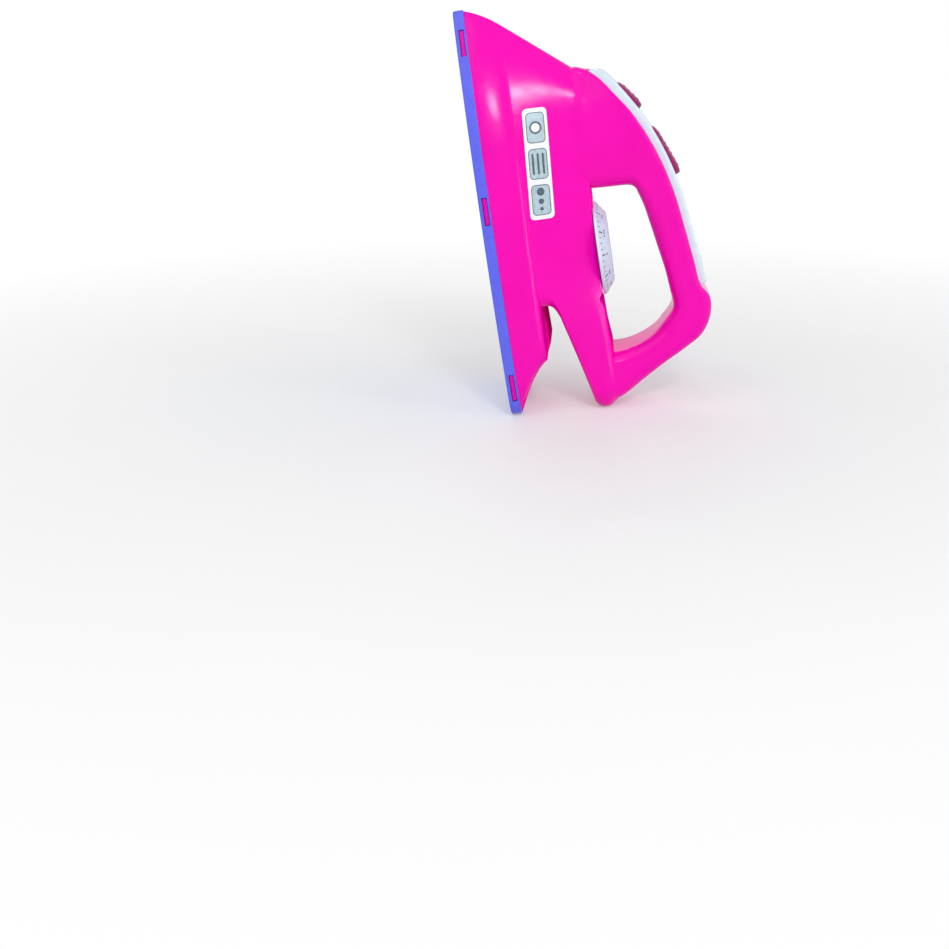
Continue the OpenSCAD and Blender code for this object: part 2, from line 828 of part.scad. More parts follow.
strip_margin = 0.3;
strip_bow_ribs = 2;
strip_upright = [0, -1];
function strip_turn(k) = k == seat_first ? strip_upright : outer_turn(k);
function strip_half(k) =
    mix(front_width / 2 - strip_margin, strip_width / 2, ease((k - seat_first) / strip_bow_ribs));
module strip_bar(grow) {
    low = [for (k = [seat_first:seat_last]) rib_outer(k) + (strip_sink + grow) * strip_turn(k)];
    high = [for (k = [seat_last:-1:seat_first]) rib_outer(k) - (strip_thick - strip_sink) * strip_turn(k)];
    front = rib_outer(seat_first)[0] + over;
    rear = rib_outer(seat_last)[0] - over;
    side = concat(
        [[front, strip_half(seat_first) + grow]],
        [for (k = [seat_first:seat_last]) [rib_outer(k)[0], strip_half(k) + grow]],
        [[rear, strip_half(seat_last) + grow]]
    );
    last = len(side) - 1;
    intersection() {
        rotate([90, 0, 0])
            linear_extrude(handle_width, center = true)
            polygon(concat(low, high));
        linear_extrude(2 * deck_height)
            polygon(concat(side, [for (i = [last:-1:0]) [side[i][0], -side[i][1]]]));
    }
}

module handle_strip() {
    color("aliceblue") stand() {
        difference() {
            strip_bar(0);
            strip_slot(front_button_at, front_button_length);
            strip_slot(rear_button_at, rear_button_length);
        }
        for (s = peg_places)
            at_seat(s)
                translate([0, 0, -strip_sink - peg_length])
                cylinder(r = peg_r, h = peg_length + strip_thick / 2);
    }
}

module strip_slot(s, length) {
    at_seat(s)
        translate([0, 0, -4 * over])
        stadium(length + 2 * button_gap, button_width + 2 * button_gap, strip_thick + 6 * over);
}

// Top of the button flange below the handle's outer face
function flange_top(s, length) =
    -strip_sink - seat_sag(s, length / 2 + button_flange) - close_fit;
function flange_foot(s, length) = flange_top(s, length) - button_flange_thick;

module push_button(s, length, offset) {
    top = strip_thick - strip_sink + button_proud;
    foot = flange_foot(s, length);
    stem_end = -switch_depth + switch_body + plunger_height + button_travel + close_fit;
    at_seat(s) {
        translate([0, 0, foot]) stadium(length, button_width, top - foot);
        translate([0, 0, foot])
            stadium(length + 2 * button_flange, button_width + 2 * button_flange, button_flange_thick);
        translate([offset, 0, stem_end]) cylinder(r = stem_r, h = foot - stem_end + over / 2);
    }
}

module front_button() {
    color("mediumvioletred") stand() push_button(front_button_at, front_button_length, 0);
}

module rear_button() {
    color("mediumvioletred") stand() push_button(rear_button_at, rear_button_length, rear_stem_offset);
}

module button_spring(s, length, offset) {
    at_seat(s)
        translate([offset, 0, -switch_depth + close_fit])
        coil(spring_r, spring_wire, switch_depth + flange_foot(s, length) - 2 * close_fit, spring_turns);
}

module front_button_spring() {
    color("silver") stand() button_spring(front_button_at, front_button_length, 0);
}

module rear_button_spring() {
    color("silver") stand() button_spring(rear_button_at, rear_button_length, rear_stem_offset);
}

module switch_board(s, offset) {
    at_seat(s)
        translate([offset - switch_board_length / 2, -switch_half, -switch_depth - board_thick])
        cube([switch_board_length, 2 * switch_half, board_thick]);
}

module front_switch_board() {
    color("olivedrab") stand() switch_board(front_button_at, 0);
}

module rear_switch_board() {
    color("olivedrab") stand() switch_board(rear_button_at, rear_stem_offset);
}

module push_switch(s, offset) {
    at_seat(s)
        translate([offset, 0, -switch_depth]) {
            translate([-switch_side / 2, -switch_side / 2, 0])
                cube([switch_side, switch_side, switch_body]);
            cylinder(r = plunger_r, h = switch_body + plunger_height);
        }
}

module front_switch() {
    color("dimgray") stand() push_switch(front_button_at, 0);
}

module rear_switch() {
    color("dimgray") stand() push_switch(rear_button_at, rear_stem_offset);
}

// Dial

dial_base = recess_floor + dial_lift;
retainer_top = deck_under - dial_play;
hub_end = retainer_top - retainer_thick - 0.8;
dial_skin = 1.6;
notch_depth = 1.4;
notch_facets = 24;
ring_fit = 0.02;

module temperature_dial() {
    color("white") stand()
        translate([dial_at, 0, 0])
        difference() {
            rotate_extrude()
                polygon([
                    [well_r, hub_end],
                    [hub_r, hub_end],
                    [hub_r, retainer_top - retainer_thick],
                    [hub_r - retainer_groove, retainer_top - retainer_thick],
                    [hub_r - retainer_groove, retainer_top],
                    [hub_r, retainer_top],
                    [hub_r, recess_floor + dial_play],
                    [dial_shoulder_r, recess_floor + dial_play],
                    [dial_shoulder_r, dial_base],
                    [dial_r, dial_base],
                    [dial_r, dial_base + dial_edge],
                    [dial_top_r, dial_base + dial_height],
                    [0, dial_base + dial_height],
                    [0, dial_base + dial_height - dial_skin],
                    [well_r, dial_base + dial_height - dial_skin]
                ]);
            for (i = [0:dial_notches - 1])
                rotate([0, 0, 360 * i / dial_notches])
                translate([dial_top_r, 0, dial_base + dial_height - notch_depth])
                cylinder(r = dial_notch_r, h = notch_depth + over, $fn = notch_facets);
        }
}

module dial_retainer() {
    color("gainsboro") stand()
        translate([dial_at, 0, retainer_top - retainer_thick])
        difference() {
            cylinder(r = retainer_r, h = retainer_thick);
            translate([0, 0, -over])
                cylinder(r = hub_r - retainer_groove + ring_fit, h = retainer_thick + 2 * over);
            for (i = [0:dial_notches - 1])
                rotate([0, 0, 360 * i / dial_notches + 90])
                translate([retainer_r + click_notch_r / 2, 0, -over])
                cylinder(r = click_notch_r, h = retainer_thick + 2 * over, $fn = notch_facets);
        }
}

// Flat leaf with a round nose that rests in a click notch
module click_leaf(grow) {
    translate([
        dial_at - click_length / 2 - grow,
        click_y + click_notch_r - grow,
        click_top - click_height - grow
    ])
        cube([click_length + 2 * grow, click_thick + 2 * grow, click_height + 2 * grow]);
}

click_nose_share = 0.7;
module click_spring() {
    color("silver") stand() {
        click_leaf(0);
        translate([dial_at, click_y + click_notch_r / 2 + close_fit, click_top - click_height])
            cylinder(r = click_nose_share * click_notch_r, h = click_height);
    }
}

// Battery box, cells and door

box_top = sole_plate + cell_d + 2 * cell_gap + box_wall;
cell_axis = sole_plate + cell_gap + cell_d / 2;
cell_side = (cell_d + cell_gap) / 2;
door_boss_top = sole_plate + 2;
door_boss_r = screw_head_r + 1.4;
head_sunk = 0.6;
tongue_root = 4;
inner_rear_face = box_at + box_wall;
inner_front_face = inner_rear_face + box_in_length;
rear_contact = inner_rear_face + contact_plate;
front_contact = inner_front_face - contact_plate;
board_low = deck_under - board_room;
board_lift = board_low - box_top;
board_setback = 3;
post_clear = 12;
post_inset = 4;
post_side = 7;
board_at = box_at + board_setback;
rear_post_at = gap_reach + wall + post_clear + post_r;
post_places = [[rear_post_at, post_side], [board_at + board_length - post_inset, -post_side]];
screw_spare = 0.6;
post_bore = board_screw_length - board_thick + screw_spare;

module battery_box() {
    color("whitesmoke") stand() {
        difference() {
            union() {
                translate([box_at, -box_in_width / 2 - box_wall, sole_plate])
                    cube([box_front - box_at, box_in_width + 2 * box_wall, box_top - sole_plate]);
                for (p = post_places)
                    translate([p[0], p[1], box_top - box_wall / 2])
                    cylinder(r = post_r, h = board_lift + box_wall / 2);
            }
            for (p = post_places)
                translate([p[0], p[1], board_low - post_bore])
                cylinder(r = board_screw_r + screw_fit, h = post_bore + over);
            translate([inner_rear_face, -box_in_width / 2, sole_plate - over])
                cube([box_in_length, box_in_width, box_top - box_wall - sole_plate + over]);
            translate([inner_front_face - over, -tongue_width / 2 - door_gap, sole_plate - over])
                cube([
                    box_wall + 2 * over,
                    tongue_width + 2 * door_gap,
                    tongue_thick + 2 * close_fit + over
                ]);
            for (side = [-1, 1])
                translate([
                    inner_front_face - contact_plate - close_fit,
                    side * cell_side - tab_width / 2 - close_fit,
                    box_top - box_wall - over
                ])
                    cube([contact_plate + 2 * close_fit, tab_width + 2 * close_fit, box_wall + 2 * over]);
        }
        difference() {
            translate([door_rear, -door_boss_r, door_boss_top + close_fit])
                cube([door_screw_room + box_wall / 2, 2 * door_boss_r, door_screw_length]);
            translate([door_screw_at, 0, 0]) cylinder(r = screw_r + screw_fit, h = box_top + over);
        }
    }
}

module battery_cells() {
    color("goldenrod") stand()
        for (side = [-1, 1])
            translate([side > 0 ? front_contact : rear_contact, side * cell_side, cell_axis])
                rotate([0, -90 * side, 0]) {
                    cylinder(d = nub_d, h = cell_length / 2);
                    translate([0, 0, nub_height]) cylinder(d = cell_d, h = cell_length - nub_height);
                }
}

module cell_springs() {
    color("silver") stand()
        for (side = [-1, 1])
            translate([side > 0 ? rear_contact : front_contact, side * cell_side, cell_axis])
                rotate([0, 90 * side, 0])
                translate([0, 0, close_fit / 2])
                coil(contact_spring_r, spring_wire, contact_spring - close_fit, contact_turns);
}

module cell_contacts() {
    color("silver") stand() {
        translate([inner_rear_face, -cell_side - contact_side / 2, cell_axis - contact_side / 2])
            cube([contact_plate, 2 * cell_side + contact_side, contact_side]);
        for (side = [-1, 1]) {
            translate([front_contact, side * cell_side - contact_side / 2, cell_axis - contact_side / 2])
                cube([contact_plate, contact_side, contact_side]);
            translate([front_contact, side * cell_side - tab_width / 2, cell_axis])
                cube([contact_plate, tab_width, box_top + tab_height - cell_axis]);
        }
    }
}

module battery_door() {
    color("slateblue") stand()
        difference() {
            union() {
                translate([door_rear, -box_in_width / 2, 0])
                    cube([door_front - door_rear, box_in_width, sole_plate - close_fit]);
                translate([door_screw_at, 0, 0])
                    cylinder(r = door_boss_r, h = door_boss_top);
                translate([door_front - tongue_root, -tongue_width / 2, sole_plate - 2 * close_fit])
                    cube([tongue_root / 2, tongue_width, tongue_thick + 2 * close_fit]);
                translate([door_front - tongue_root, -tongue_width / 2, sole_plate + close_fit])
                    cube([tongue_root + tongue_reach, tongue_width, tongue_thick - close_fit]);
            }
            translate([door_screw_at, 0, -over]) {
                cylinder(r = screw_r + 2 * screw_fit, h = door_boss_top + 2 * over);
                cylinder(r = screw_head_r + close_fit, h = screw_head + head_sunk + over);
            }
        }
}

module battery_door_screw() {
    color("silver") stand()
        translate([door_screw_at, 0, head_sunk]) {
            cylinder(r = screw_head_r, h = screw_head);
            translate([0, 0, screw_head / 2]) cylinder(r = screw_r, h = door_screw_length + screw_head / 2);
        }
}

// Boards, lamp and sound

module main_board() {
    color("olivedrab") stand()
        difference() {
            translate([board_at, -board_width / 2, board_low])
                cube([board_length, board_width, board_thick]);
            for (p = post_places)
                translate([p[0], p[1], board_low - over])
                cylinder(r = board_screw_r + 3 * screw_fit, h = board_thick + 2 * over);
        }
}

module board_screws() {
    color("silver") stand()
        for (p = post_places)
            translate([p[0], p[1], board_low + board_thick]) {
                cylinder(r = 2 * board_screw_r, h = screw_head);
                translate([0, 0, -board_screw_length])
                    cylinder(r = board_screw_r, h = board_screw_length + screw_head / 2);
            }
}

lamp_foot = hub_end - 1;
lamp_top = recess_floor;
leg_side = 0.6;
leg_spacing = 2.5;
module indicator_lamp() {
    color("lightyellow") stand()
        translate([dial_at, 0, 0]) {
            translate([0, 0, lamp_foot]) cylinder(d = lamp_d, h = lamp_top - lamp_foot);
            translate([0, 0, lamp_top]) sphere(d = lamp_d - ring_fit);
            for (side = [-1, 1])
                translate([side * leg_spacing / 2 - leg_side / 2, -leg_side / 2, board_low + board_thick])
                cube([leg_side, leg_side, lamp_foot - board_low - board_thick + 0.5]);
        }
}

chip_r = 5;
chip_height = 1.8;
module sound_chip() {
    color("black") stand()
        translate([board_at + board_length / 2, 0, board_low + board_thick])
        cylinder(r1 = chip_r, r2 = chip_r / 2, h = chip_height);
}

capacitor_r = 2.5;
capacitor_height = 6;
capacitor_inset = 8;
capacitor_side = 6;
module capacitor() {
    color("navy") stand()
        translate([board_at + board_length - capacitor_inset, capacitor_side, board_low + board_thick])
        cylinder(r = capacitor_r, h = capacitor_height);
}

speaker_low = sole_plate + close_fit / 2;
speaker_lip = 2.2;
lip_height = 1;
basket_thick = 0.6;
module speaker_frame() {
    color("gray") stand()
        translate([speaker_at, 0, speaker_low])
        rotate_extrude()
            polygon([
                [speaker_r - speaker_lip, 0],
                [speaker_r, 0],
                [speaker_r, lip_height],
                [magnet_r + 1, speaker_height],
                [magnet_r, speaker_height + magnet_height],
                [0, speaker_height + magnet_height],
                [0, speaker_height - basket_thick],
                [magnet_r, speaker_height - basket_thick]
            ]);
}

cone_thick = 0.4;
cone_r = speaker_r - speaker_lip - 1;
cap_r = 3;
cap_low = 1.2;
cone_top = speaker_height - basket_thick - close_fit;
module speaker_cone() {
    color("darkslategray") stand()
        translate([speaker_at, 0, speaker_low])
        rotate_extrude()
            polygon([
                [0, cap_low],
                [cap_r, cap_low],
                [cone_r, close_fit],
                [cone_r, close_fit + cone_thick],
                [cap_r, cone_top],
                [0, cone_top]
            ]);
}

// Leads

board_mid = board_low + board_thick / 2;
board_end = board_at + board_length;
cell_lead_bend = 3;
cell_lead_end = 5.4;
cell_lead = [
    [inner_front_face - contact_plate / 2, box_top + tab_height],
    [inner_front_face - cell_lead_bend / 5, box_top + tab_height + 0.8 * cell_lead_bend],
    [inner_front_face - cell_lead_bend, board_mid - cell_lead_bend / 5],
    [inner_front_face - cell_lead_end, board_mid],
    [board_end, board_mid]
];
module positive_wire() {
    color("red") stand() lead(cell_lead, cell_side);
}

module negative_wire() {
    color("black") stand() lead(cell_lead, -cell_side);
}

board_top = board_low + board_thick;
lead_straight = 3;
switch_lead_start = board_end - 2;
front_switch_y = 3;
rear_switch_y = -3;
module switch_lead(s, offset, y, start) {
    slope = seat_slope(s);
    along = [cos(slope), sin(slope)];
    inward = [sin(slope), -cos(slope)];
    foot = [s, seat_rise(s)] + offset * along + (switch_depth + board_thick) * inward;
    drop = foot + lead_straight * inward;
    rise = board_top + lead_straight;
    lead([
        [start, board_top],
        [start, rise],
        [mix(start, drop[0], 0.3), mix(rise, drop[1], 0.4)],
        [mix(start, drop[0], 0.8), mix(rise, drop[1], 0.75)],
        drop,
        foot
    ], y);
}

module front_switch_wire() {
    color("orange") stand() switch_lead(front_button_at, 0, front_switch_y, switch_lead_start);
}

module rear_switch_wire() {
    color("green") stand() switch_lead(rear_button_at, rear_stem_offset, rear_switch_y, switch_lead_start);
}

speaker_lead_y = 0;
speaker_lead_bend = 5;
speaker_lead_rise = 8;
speaker_top = speaker_low + speaker_height + magnet_height;
module speaker_wire() {
    color("gold") stand()
        lead([
            [board_end, board_mid],
            [board_end + speaker_lead_bend, board_mid],
            [mix(board_end, speaker_at, 0.6), board_mid - speaker_lead_bend],
            [speaker_at - lead_straight / 2, speaker_top + speaker_lead_rise],
            [speaker_at, speaker_top + lead_straight],
            [speaker_at, speaker_top]
        ], speaker_lead_y);
}

// Stickers

sticker_columns = 10;
sticker_rows = 3;
sticker_lift = 0.15;
sticker_middle = skirt_height + sticker_rise + sticker_height / 2;
function on_side(i, j, lift) =
    let (along = sticker_length * (i / sticker_columns - 0.5))
    let (up = sticker_height * (j / sticker_rows - 0.5))
    let (s = sticker_at + along * cos(sticker_turn) - up * sin(sticker_turn))
    let (t = sticker_middle + along * sin(sticker_turn) + up * cos(sticker_turn))
    [s, body_half(s, t) + lift, t];
module sticker() {
    skin([
        for (i = [0:sticker_columns])
            concat(
                [for (j = [0:sticker_rows]) on_side(i, j, sticker_lift)],
                [for (j = [sticker_rows:-1:0]) on_side(i, j, sticker_lift + sticker_thick)]
            )
    ]);
}

module left_sticker() {
    color("lightsteelblue") stand() sticker();
}

module right_sticker() {
    color("lightsteelblue") stand() mirror([0, 1, 0]) sticker();
}

left_shell();
right_shell();
soleplate();
handle_strip();
front_button();
rear_button();
front_button_spring();
rear_button_spring();
front_switch_board();
rear_switch_board();
front_switch();
rear_switch();
temperature_dial();
dial_retainer();
click_spring();
indicator_lamp();
shell_screws();
left_sticker();
right_sticker();
battery_box();
battery_cells();
cell_springs();
cell_contacts();
battery_door();
battery_door_screw();
main_board();
board_screws();
sound_chip();
capacitor();
speaker_frame();
speaker_cone();
positive_wire();
negative_wire();
front_switch_wire();
rear_switch_wire();
speaker_wire();
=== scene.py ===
from math import atan, atan2, cos, hypot, pi, radians, sin, sqrt, tan

import bmesh
import bpy
from mathutils import Matrix, Vector


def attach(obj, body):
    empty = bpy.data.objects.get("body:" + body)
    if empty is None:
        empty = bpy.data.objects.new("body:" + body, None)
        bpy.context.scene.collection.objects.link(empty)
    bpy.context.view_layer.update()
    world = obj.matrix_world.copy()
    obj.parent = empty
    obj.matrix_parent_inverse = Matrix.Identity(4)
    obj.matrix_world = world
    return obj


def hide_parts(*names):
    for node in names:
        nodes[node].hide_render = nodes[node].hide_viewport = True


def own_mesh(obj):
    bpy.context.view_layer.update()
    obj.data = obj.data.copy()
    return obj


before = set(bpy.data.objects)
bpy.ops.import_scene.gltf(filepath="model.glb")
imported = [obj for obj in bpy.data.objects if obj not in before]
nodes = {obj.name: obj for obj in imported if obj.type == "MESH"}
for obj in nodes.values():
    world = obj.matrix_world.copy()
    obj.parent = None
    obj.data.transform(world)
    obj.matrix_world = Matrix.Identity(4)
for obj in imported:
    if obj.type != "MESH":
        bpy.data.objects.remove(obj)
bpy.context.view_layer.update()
scene = bpy.context.scene
scene.view_settings.view_transform = "Standard"


# Camera and studio. The toy stands on a pale table and is seen from its left side, a little from above.
# A broad soft sky light and a few soft boxes give the long quiet highlights of polished plastic.
picture_side, picture_focus, sensor_width = 949, 1600, 36
look_down, look_left = 17.66, 3.9


def placed(name, data):
    made = bpy.data.objects.new(name, data)
    scene.collection.objects.link(made)
    return made


camera_data = bpy.data.cameras.new("camera")
camera_data.sensor_width = sensor_width
camera_data.lens = sensor_width * picture_focus / picture_side
camera_data.clip_end = 60
camera = placed("camera", camera_data)
camera.location = (0.00035, -0.617, 0.1645)
camera.rotation_euler = (radians(90 - look_down), 0, radians(look_left))
scene.camera = camera


def soft_box(name, place, aim, size, power):
    lamp = bpy.data.lights.new(name, "AREA")
    lamp.shape = "RECTANGLE"
    lamp.size, lamp.size_y = size
    lamp.energy = power
    holder = placed(name, lamp)
    holder.location = place
    holder.rotation_euler = (Vector(aim) - Vector(place)).to_track_quat("-Z", "Y").to_euler()
    return holder


key_place = (0.19, -0.74, 0.6)
front_box = soft_box("front_box", key_place, (0, 0, 0.07), (0.3, 0.2), 2.05)
front_box.visible_glossy = False
soft_box("glint_box", key_place, (0, 0, 0.07), (0.07, 0.04), 0.9)
soft_box("edge_box", (0.85, -0.5, 0.25), (0, 0, 0.06), (0.03, 0.6), 1.1)
soft_box("right_box", (0.9, -0.35, 0.5), (0, 0, 0.07), (0.3, 0.7), 0.8)
soft_box("back_box", (-0.3, 0.9, 0.7), (0, 0, 0.08), (0.8, 0.5), 1.95)

sun = bpy.data.lights.new("ceiling", "SUN")
sun.energy = 0.65
sun.angle = radians(50)
placed("ceiling", sun).rotation_euler = (radians(38), 0, radians(-25))


def feed(tree, node, feeds):
    """Gives sockets of a shader node a constant or the output that drives them."""
    for socket, value in feeds.items():
        if isinstance(value, bpy.types.NodeSocket):
            tree.links.new(value, node.inputs[socket])
        else:
            node.inputs[socket].default_value = value


def shader_node(tree, kind, feeds, **settings):
    node = tree.nodes.new("ShaderNode" + kind)
    for name, value in settings.items():
        setattr(node, name, value)
    feed(tree, node, feeds)
    return node.outputs


def seen_directly(tree):
    """1 where a surface is seen, in a gloss or through clear plastic too, 0 where it only lights."""
    path = shader_node(tree, "LightPath", {})
    seen = path["Is Camera Ray"]
    for ray in ("Is Glossy Ray", "Is Transmission Ray"):
        seen = shader_node(tree, "Math", {0: seen, 1: path[ray]}, operation="MAXIMUM")[0]
    return seen


def show(tree, first, second, share, output):
    """Sends a mix of two shaders to the output; share is how much of the second is seen."""
    blend = shader_node(tree, "MixShader", {"Fac": share, 1: first, 2: second})
    feed(tree, tree.nodes[output], {"Surface": blend[0]})


world = bpy.data.worlds.new("studio")
world.use_nodes = True
sky = world.node_tree
sky_light = sky.nodes["Background"]
feed(sky, sky_light, {"Color": (0.95, 0.97, 1.0, 1), "Strength": 0.33})
white_wall = shader_node(sky, "Background", {"Color": (1, 1, 1, 1)})
show(sky, sky_light.outputs[0], white_wall[0], seen_directly(sky), "World Output")
scene.world = world


class Finish:
    """A material under construction. A grain is a noise's size in millimetres, detail and stretch."""

    def __init__(self, name, colour, rough, metal=0.0):
        self.material = bpy.data.materials.new(name)
        self.material.use_nodes = True
        self.tree = self.material.node_tree
        self.shader = self.tree.nodes["Principled BSDF"]
        self.place = shader_node(self.tree, "TexCoord", {})["Object"]
        self.bumps = {}
        self.set("Base Color", (*colour, 1)).set("Roughness", rough).set("Metallic", metal)

    def set(self, socket, value):
        feed(self.tree, self.shader, {socket: value})
        return self

    def noise(self, size_mm, detail=3.0, stretch=(1, 1, 1)):
        spread = shader_node(self.tree, "Mapping", {"Vector": self.place, "Scale": stretch})["Vector"]
        feeds = {"Vector": spread, "Scale": 1000 / size_mm, "Detail": detail}
        return shader_node(self.tree, "TexNoise", feeds)["Fac"]

    def between(self, value, low, high, start=0.35, end=0.65):
        feeds = {"Value": value, "From Min": start, "From Max": end, "To Min": low, "To Max": high}
        return shader_node(self.tree, "MapRange", feeds)["Result"]

    def tint(self, colour_a, colour_b, *grain, start=0.35, end=0.65):
        share = self.between(self.noise(*grain), 0, 1, start, end)
        feeds = {"Factor": share, "A": (*colour_a, 1), "B": (*colour_b, 1)}
        return self.set("Base Color", shader_node(self.tree, "Mix", feeds, data_type="RGBA")["Result"])

    def gloss(self, low, high, *grain):
        return self.set("Roughness", self.between(self.noise(*grain), low, high))

    def bump(self, depth_mm, *grain):
        feeds = {"Distance": depth_mm / 1000, "Height": self.noise(*grain), **self.bumps}
        self.bumps = {"Normal": shader_node(self.tree, "Bump", feeds)["Normal"]}
        return self.set("Normal", self.bumps["Normal"])


table_paint = Finish("table_paint", (0.9, 0.9, 0.9), 0.6).tint((0.9, 0.9, 0.9), (0.88, 0.885, 0.89), 60)
table_tree = table_paint.tree
distance = shader_node(table_tree, "VectorMath", {0: table_paint.place}, operation="LENGTH")["Value"]
far_away = table_paint.between(distance, 0.3, 1, 0.08, 0.4)
far_seen = shader_node(table_tree, "Math", {0: far_away, 1: seen_directly(table_tree)}, operation="MULTIPLY")[0]
white_glow = shader_node(table_tree, "Emission", {})[0]
show(table_tree, table_paint.shader.outputs[0], white_glow, far_seen, "Material Output")
table_reach = 20
table_corners = [(x * table_reach, y * table_reach, 0) for x, y in ((-1, -1), (1, -1), (1, 1), (-1, 1))]
table_mesh = bpy.data.meshes.new("table")
table_mesh.from_pydata(table_corners, [], [(0, 1, 2, 3)])
table_mesh.materials.append(table_paint.material)
table = placed("table", table_mesh)


# Soleplate. A shallow tray moulded in blue-violet plastic, with a flat pointed sole and a low rim.
# Windows in the rim take the snap tabs of the case. The sole has the battery opening and the sound holes.
sole_length, sole_half, sole_wide_at = 150, 30, 25
sole_plate, rim_height, rim_wall, heel_corner = 1.4, 4.2, 1.5, 7
window_places = (11.5, 78, 138.5)
window_long, window_tall = 10.4, 2.0
foot_height, foot_back, foot_round = 36.3, 1.4, 4.6
tilt = atan2(foot_back + foot_round, foot_height)
stand_shift = -25.55
flat_to_standing = Matrix((
    (-sin(tilt), 0, cos(tilt), stand_shift),
    (0, -1, 0, 0),
    (cos(tilt), 0, sin(tilt), 0),
    (0, 0, 0, 1000),
)) * 0.001


def drawn(name, points, faces):
    """A piece drawn with the sole flat, in millimetres: x to the toe, y to the left, z up."""
    mesh = bpy.data.meshes.new(name)
    mesh.from_pydata([tuple(p) for p in points], [], faces)
    mesh.validate()
    return placed(name, mesh)


def face_outward(made, weld=0.0):
    """Turns all faces outward, after points nearer than the weld distance are joined."""
    shape = bmesh.new()
    shape.from_mesh(made.data)
    if weld:
        bmesh.ops.remove_doubles(shape, verts=shape.verts, dist=weld)
    bmesh.ops.recalc_face_normals(shape, faces=shape.faces)
    shape.to_mesh(made.data)
    shape.free()
    return made


def skin_faces(count, rows, start=0):
    """Faces of a closed skin over rows of points, each row a ring of equal count."""
    last = start + (rows - 1) * count
    faces = [tuple(range(start, start + count))[::-1], tuple(range(last, last + count))]
    for i in range(start, last, count):
        for j in range(count):
            k = (j + 1) % count
            faces.append((i + j, i + k, i + count + k, i + count + j))
    return faces


def loft(name, rings):
    """A closed piece through rings of equal count."""
    points = [p for ring in rings for p in ring]
    return face_outward(drawn(name, points, skin_faces(len(rings[0]), len(rings))))


def block(name, low, high, soft=0.0, steps=2):
    """A moulded block, with softened edges where soft is given."""
    made = loft(name, [
        [(low[0], low[1], z), (high[0], low[1], z), (high[0], high[1], z), (low[0], high[1], z)]
        for z in (low[2], high[2])
    ])
    if soft:
        shape = bmesh.new()
        shape.from_mesh(made.data)
        bmesh.ops.bevel(
            shape, geom=shape.edges[:], offset=soft, segments=steps, profile=0.5, affect="EDGES", clamp_overlap=True)
        shape.to_mesh(made.data)
        shape.free()
    return made


def turned(name, profile, centre, axis="z", count=96):
    """A closed piece of revolution from (radius, height) pairs, capped flat at both ends."""
    x, y, z = centre
    turns = [2 * pi * i / count for i in range(count)]
    if axis == "z":
        rings = [[(x + r * cos(a), y + r * sin(a), z + h) for a in turns] for r, h in profile]
    else:
        rings = [[(x + r * cos(a), y + h, z - r * sin(a)) for a in turns] for r, h in profile]
    return loft(name, rings)


def combine(made, tool, operation):
    step = made.modifiers.new("combine", "BOOLEAN")
    step.operation = operation
    step.solver = "MANIFOLD"
    step.object = tool
    graph = bpy.context.evaluated_depsgraph_get()
    result = bpy.data.meshes.new_from_object(made.evaluated_get(graph))
    made.modifiers.clear()
    made.data = result
    bpy.data.objects.remove(tool)
    return made


def cut(made, tool):
    return combine(made, tool, "DIFFERENCE")


def join(made, tool):
    return combine(made, tool, "UNION")


def coat(made, finish):
    made.data.materials.clear()
    made.data.materials.append(finish.material)
    for face in made.data.polygons:
        face.material_index = 0


def stood(made, finish, body="iron", crisp=34, weighted=True):
    """Tips a drawn piece up onto its heel, finishes its surface and fixes it to a body."""
    made.data.transform(flat_to_standing)
    for point in made.data.vertices:
        point.co.z = max(point.co.z, 0.0)
    coat(made, finish)
    made.data.shade_smooth()
    made.data.set_sharp_from_angle(angle=radians(crisp))
    if weighted:
        made.modifiers.new("even_normals", "WEIGHTED_NORMAL").keep_sharp = True
    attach(made, body)
    return made


def ogive(s, nose, bow=1.6, point=0.8):
    """Share of the full width left at s, from 1 at the widest place to 0 at the nose."""
    q = min(1.0, max(0.0, (s - sole_wide_at) / (nose - sole_wide_at)))
    return max(0.0, 1 - q ** bow) ** point


def edge_half(s):
    return sole_half * ogive(s, sole_length)


def quarter(steps):
    return [pi / 2 * i / steps for i in range(steps + 1)]


def sole_ring(inset, t, side_steps=60):
    end = sole_length - 2 * inset
    corner = max(0.6, heel_corner - inset)
    half = [(inset + corner * (1 - cos(a)), sole_half - inset - corner * (1 - sin(a))) for a in quarter(10)]
    for i in range(1, side_steps):
        s = heel_corner + (end - heel_corner) * (1 - (1 - i / side_steps) ** 2)
        half.append((s, (sole_half - inset) * ogive(s, end)))
    return [(s, y, t) for s, y in half] + [(end, 0, t)] + [(s, -y, t) for s, y in reversed(half)]


def at_edge(piece, s, side):
    """Moves a piece drawn at the origin to the edge of the sole, on the left side or mirrored to the right."""
    slope = atan((edge_half(s + 1) - edge_half(s - 1)) / 2)
    piece.data.transform(Matrix.Translation((s, edge_half(s), 0)) @ Matrix.Rotation(slope, 4, "Z"))
    if side < 0:
        piece.data.transform(Matrix.Scale(-1, 4, (0, 1, 0)))
        piece.data.flip_normals()
    return piece


sole_plastic = Finish("sole_plastic", (0.12, 0.14, 0.85), 0.3).set("Specular IOR Level", 0.3)
sole_plastic.tint((0.116, 0.135, 0.835), (0.125, 0.144, 0.86), 9).gloss(0.26, 0.33, 2.2, 5)
sole_plastic.bump(0.003, 0.5).bump(0.04, 14)

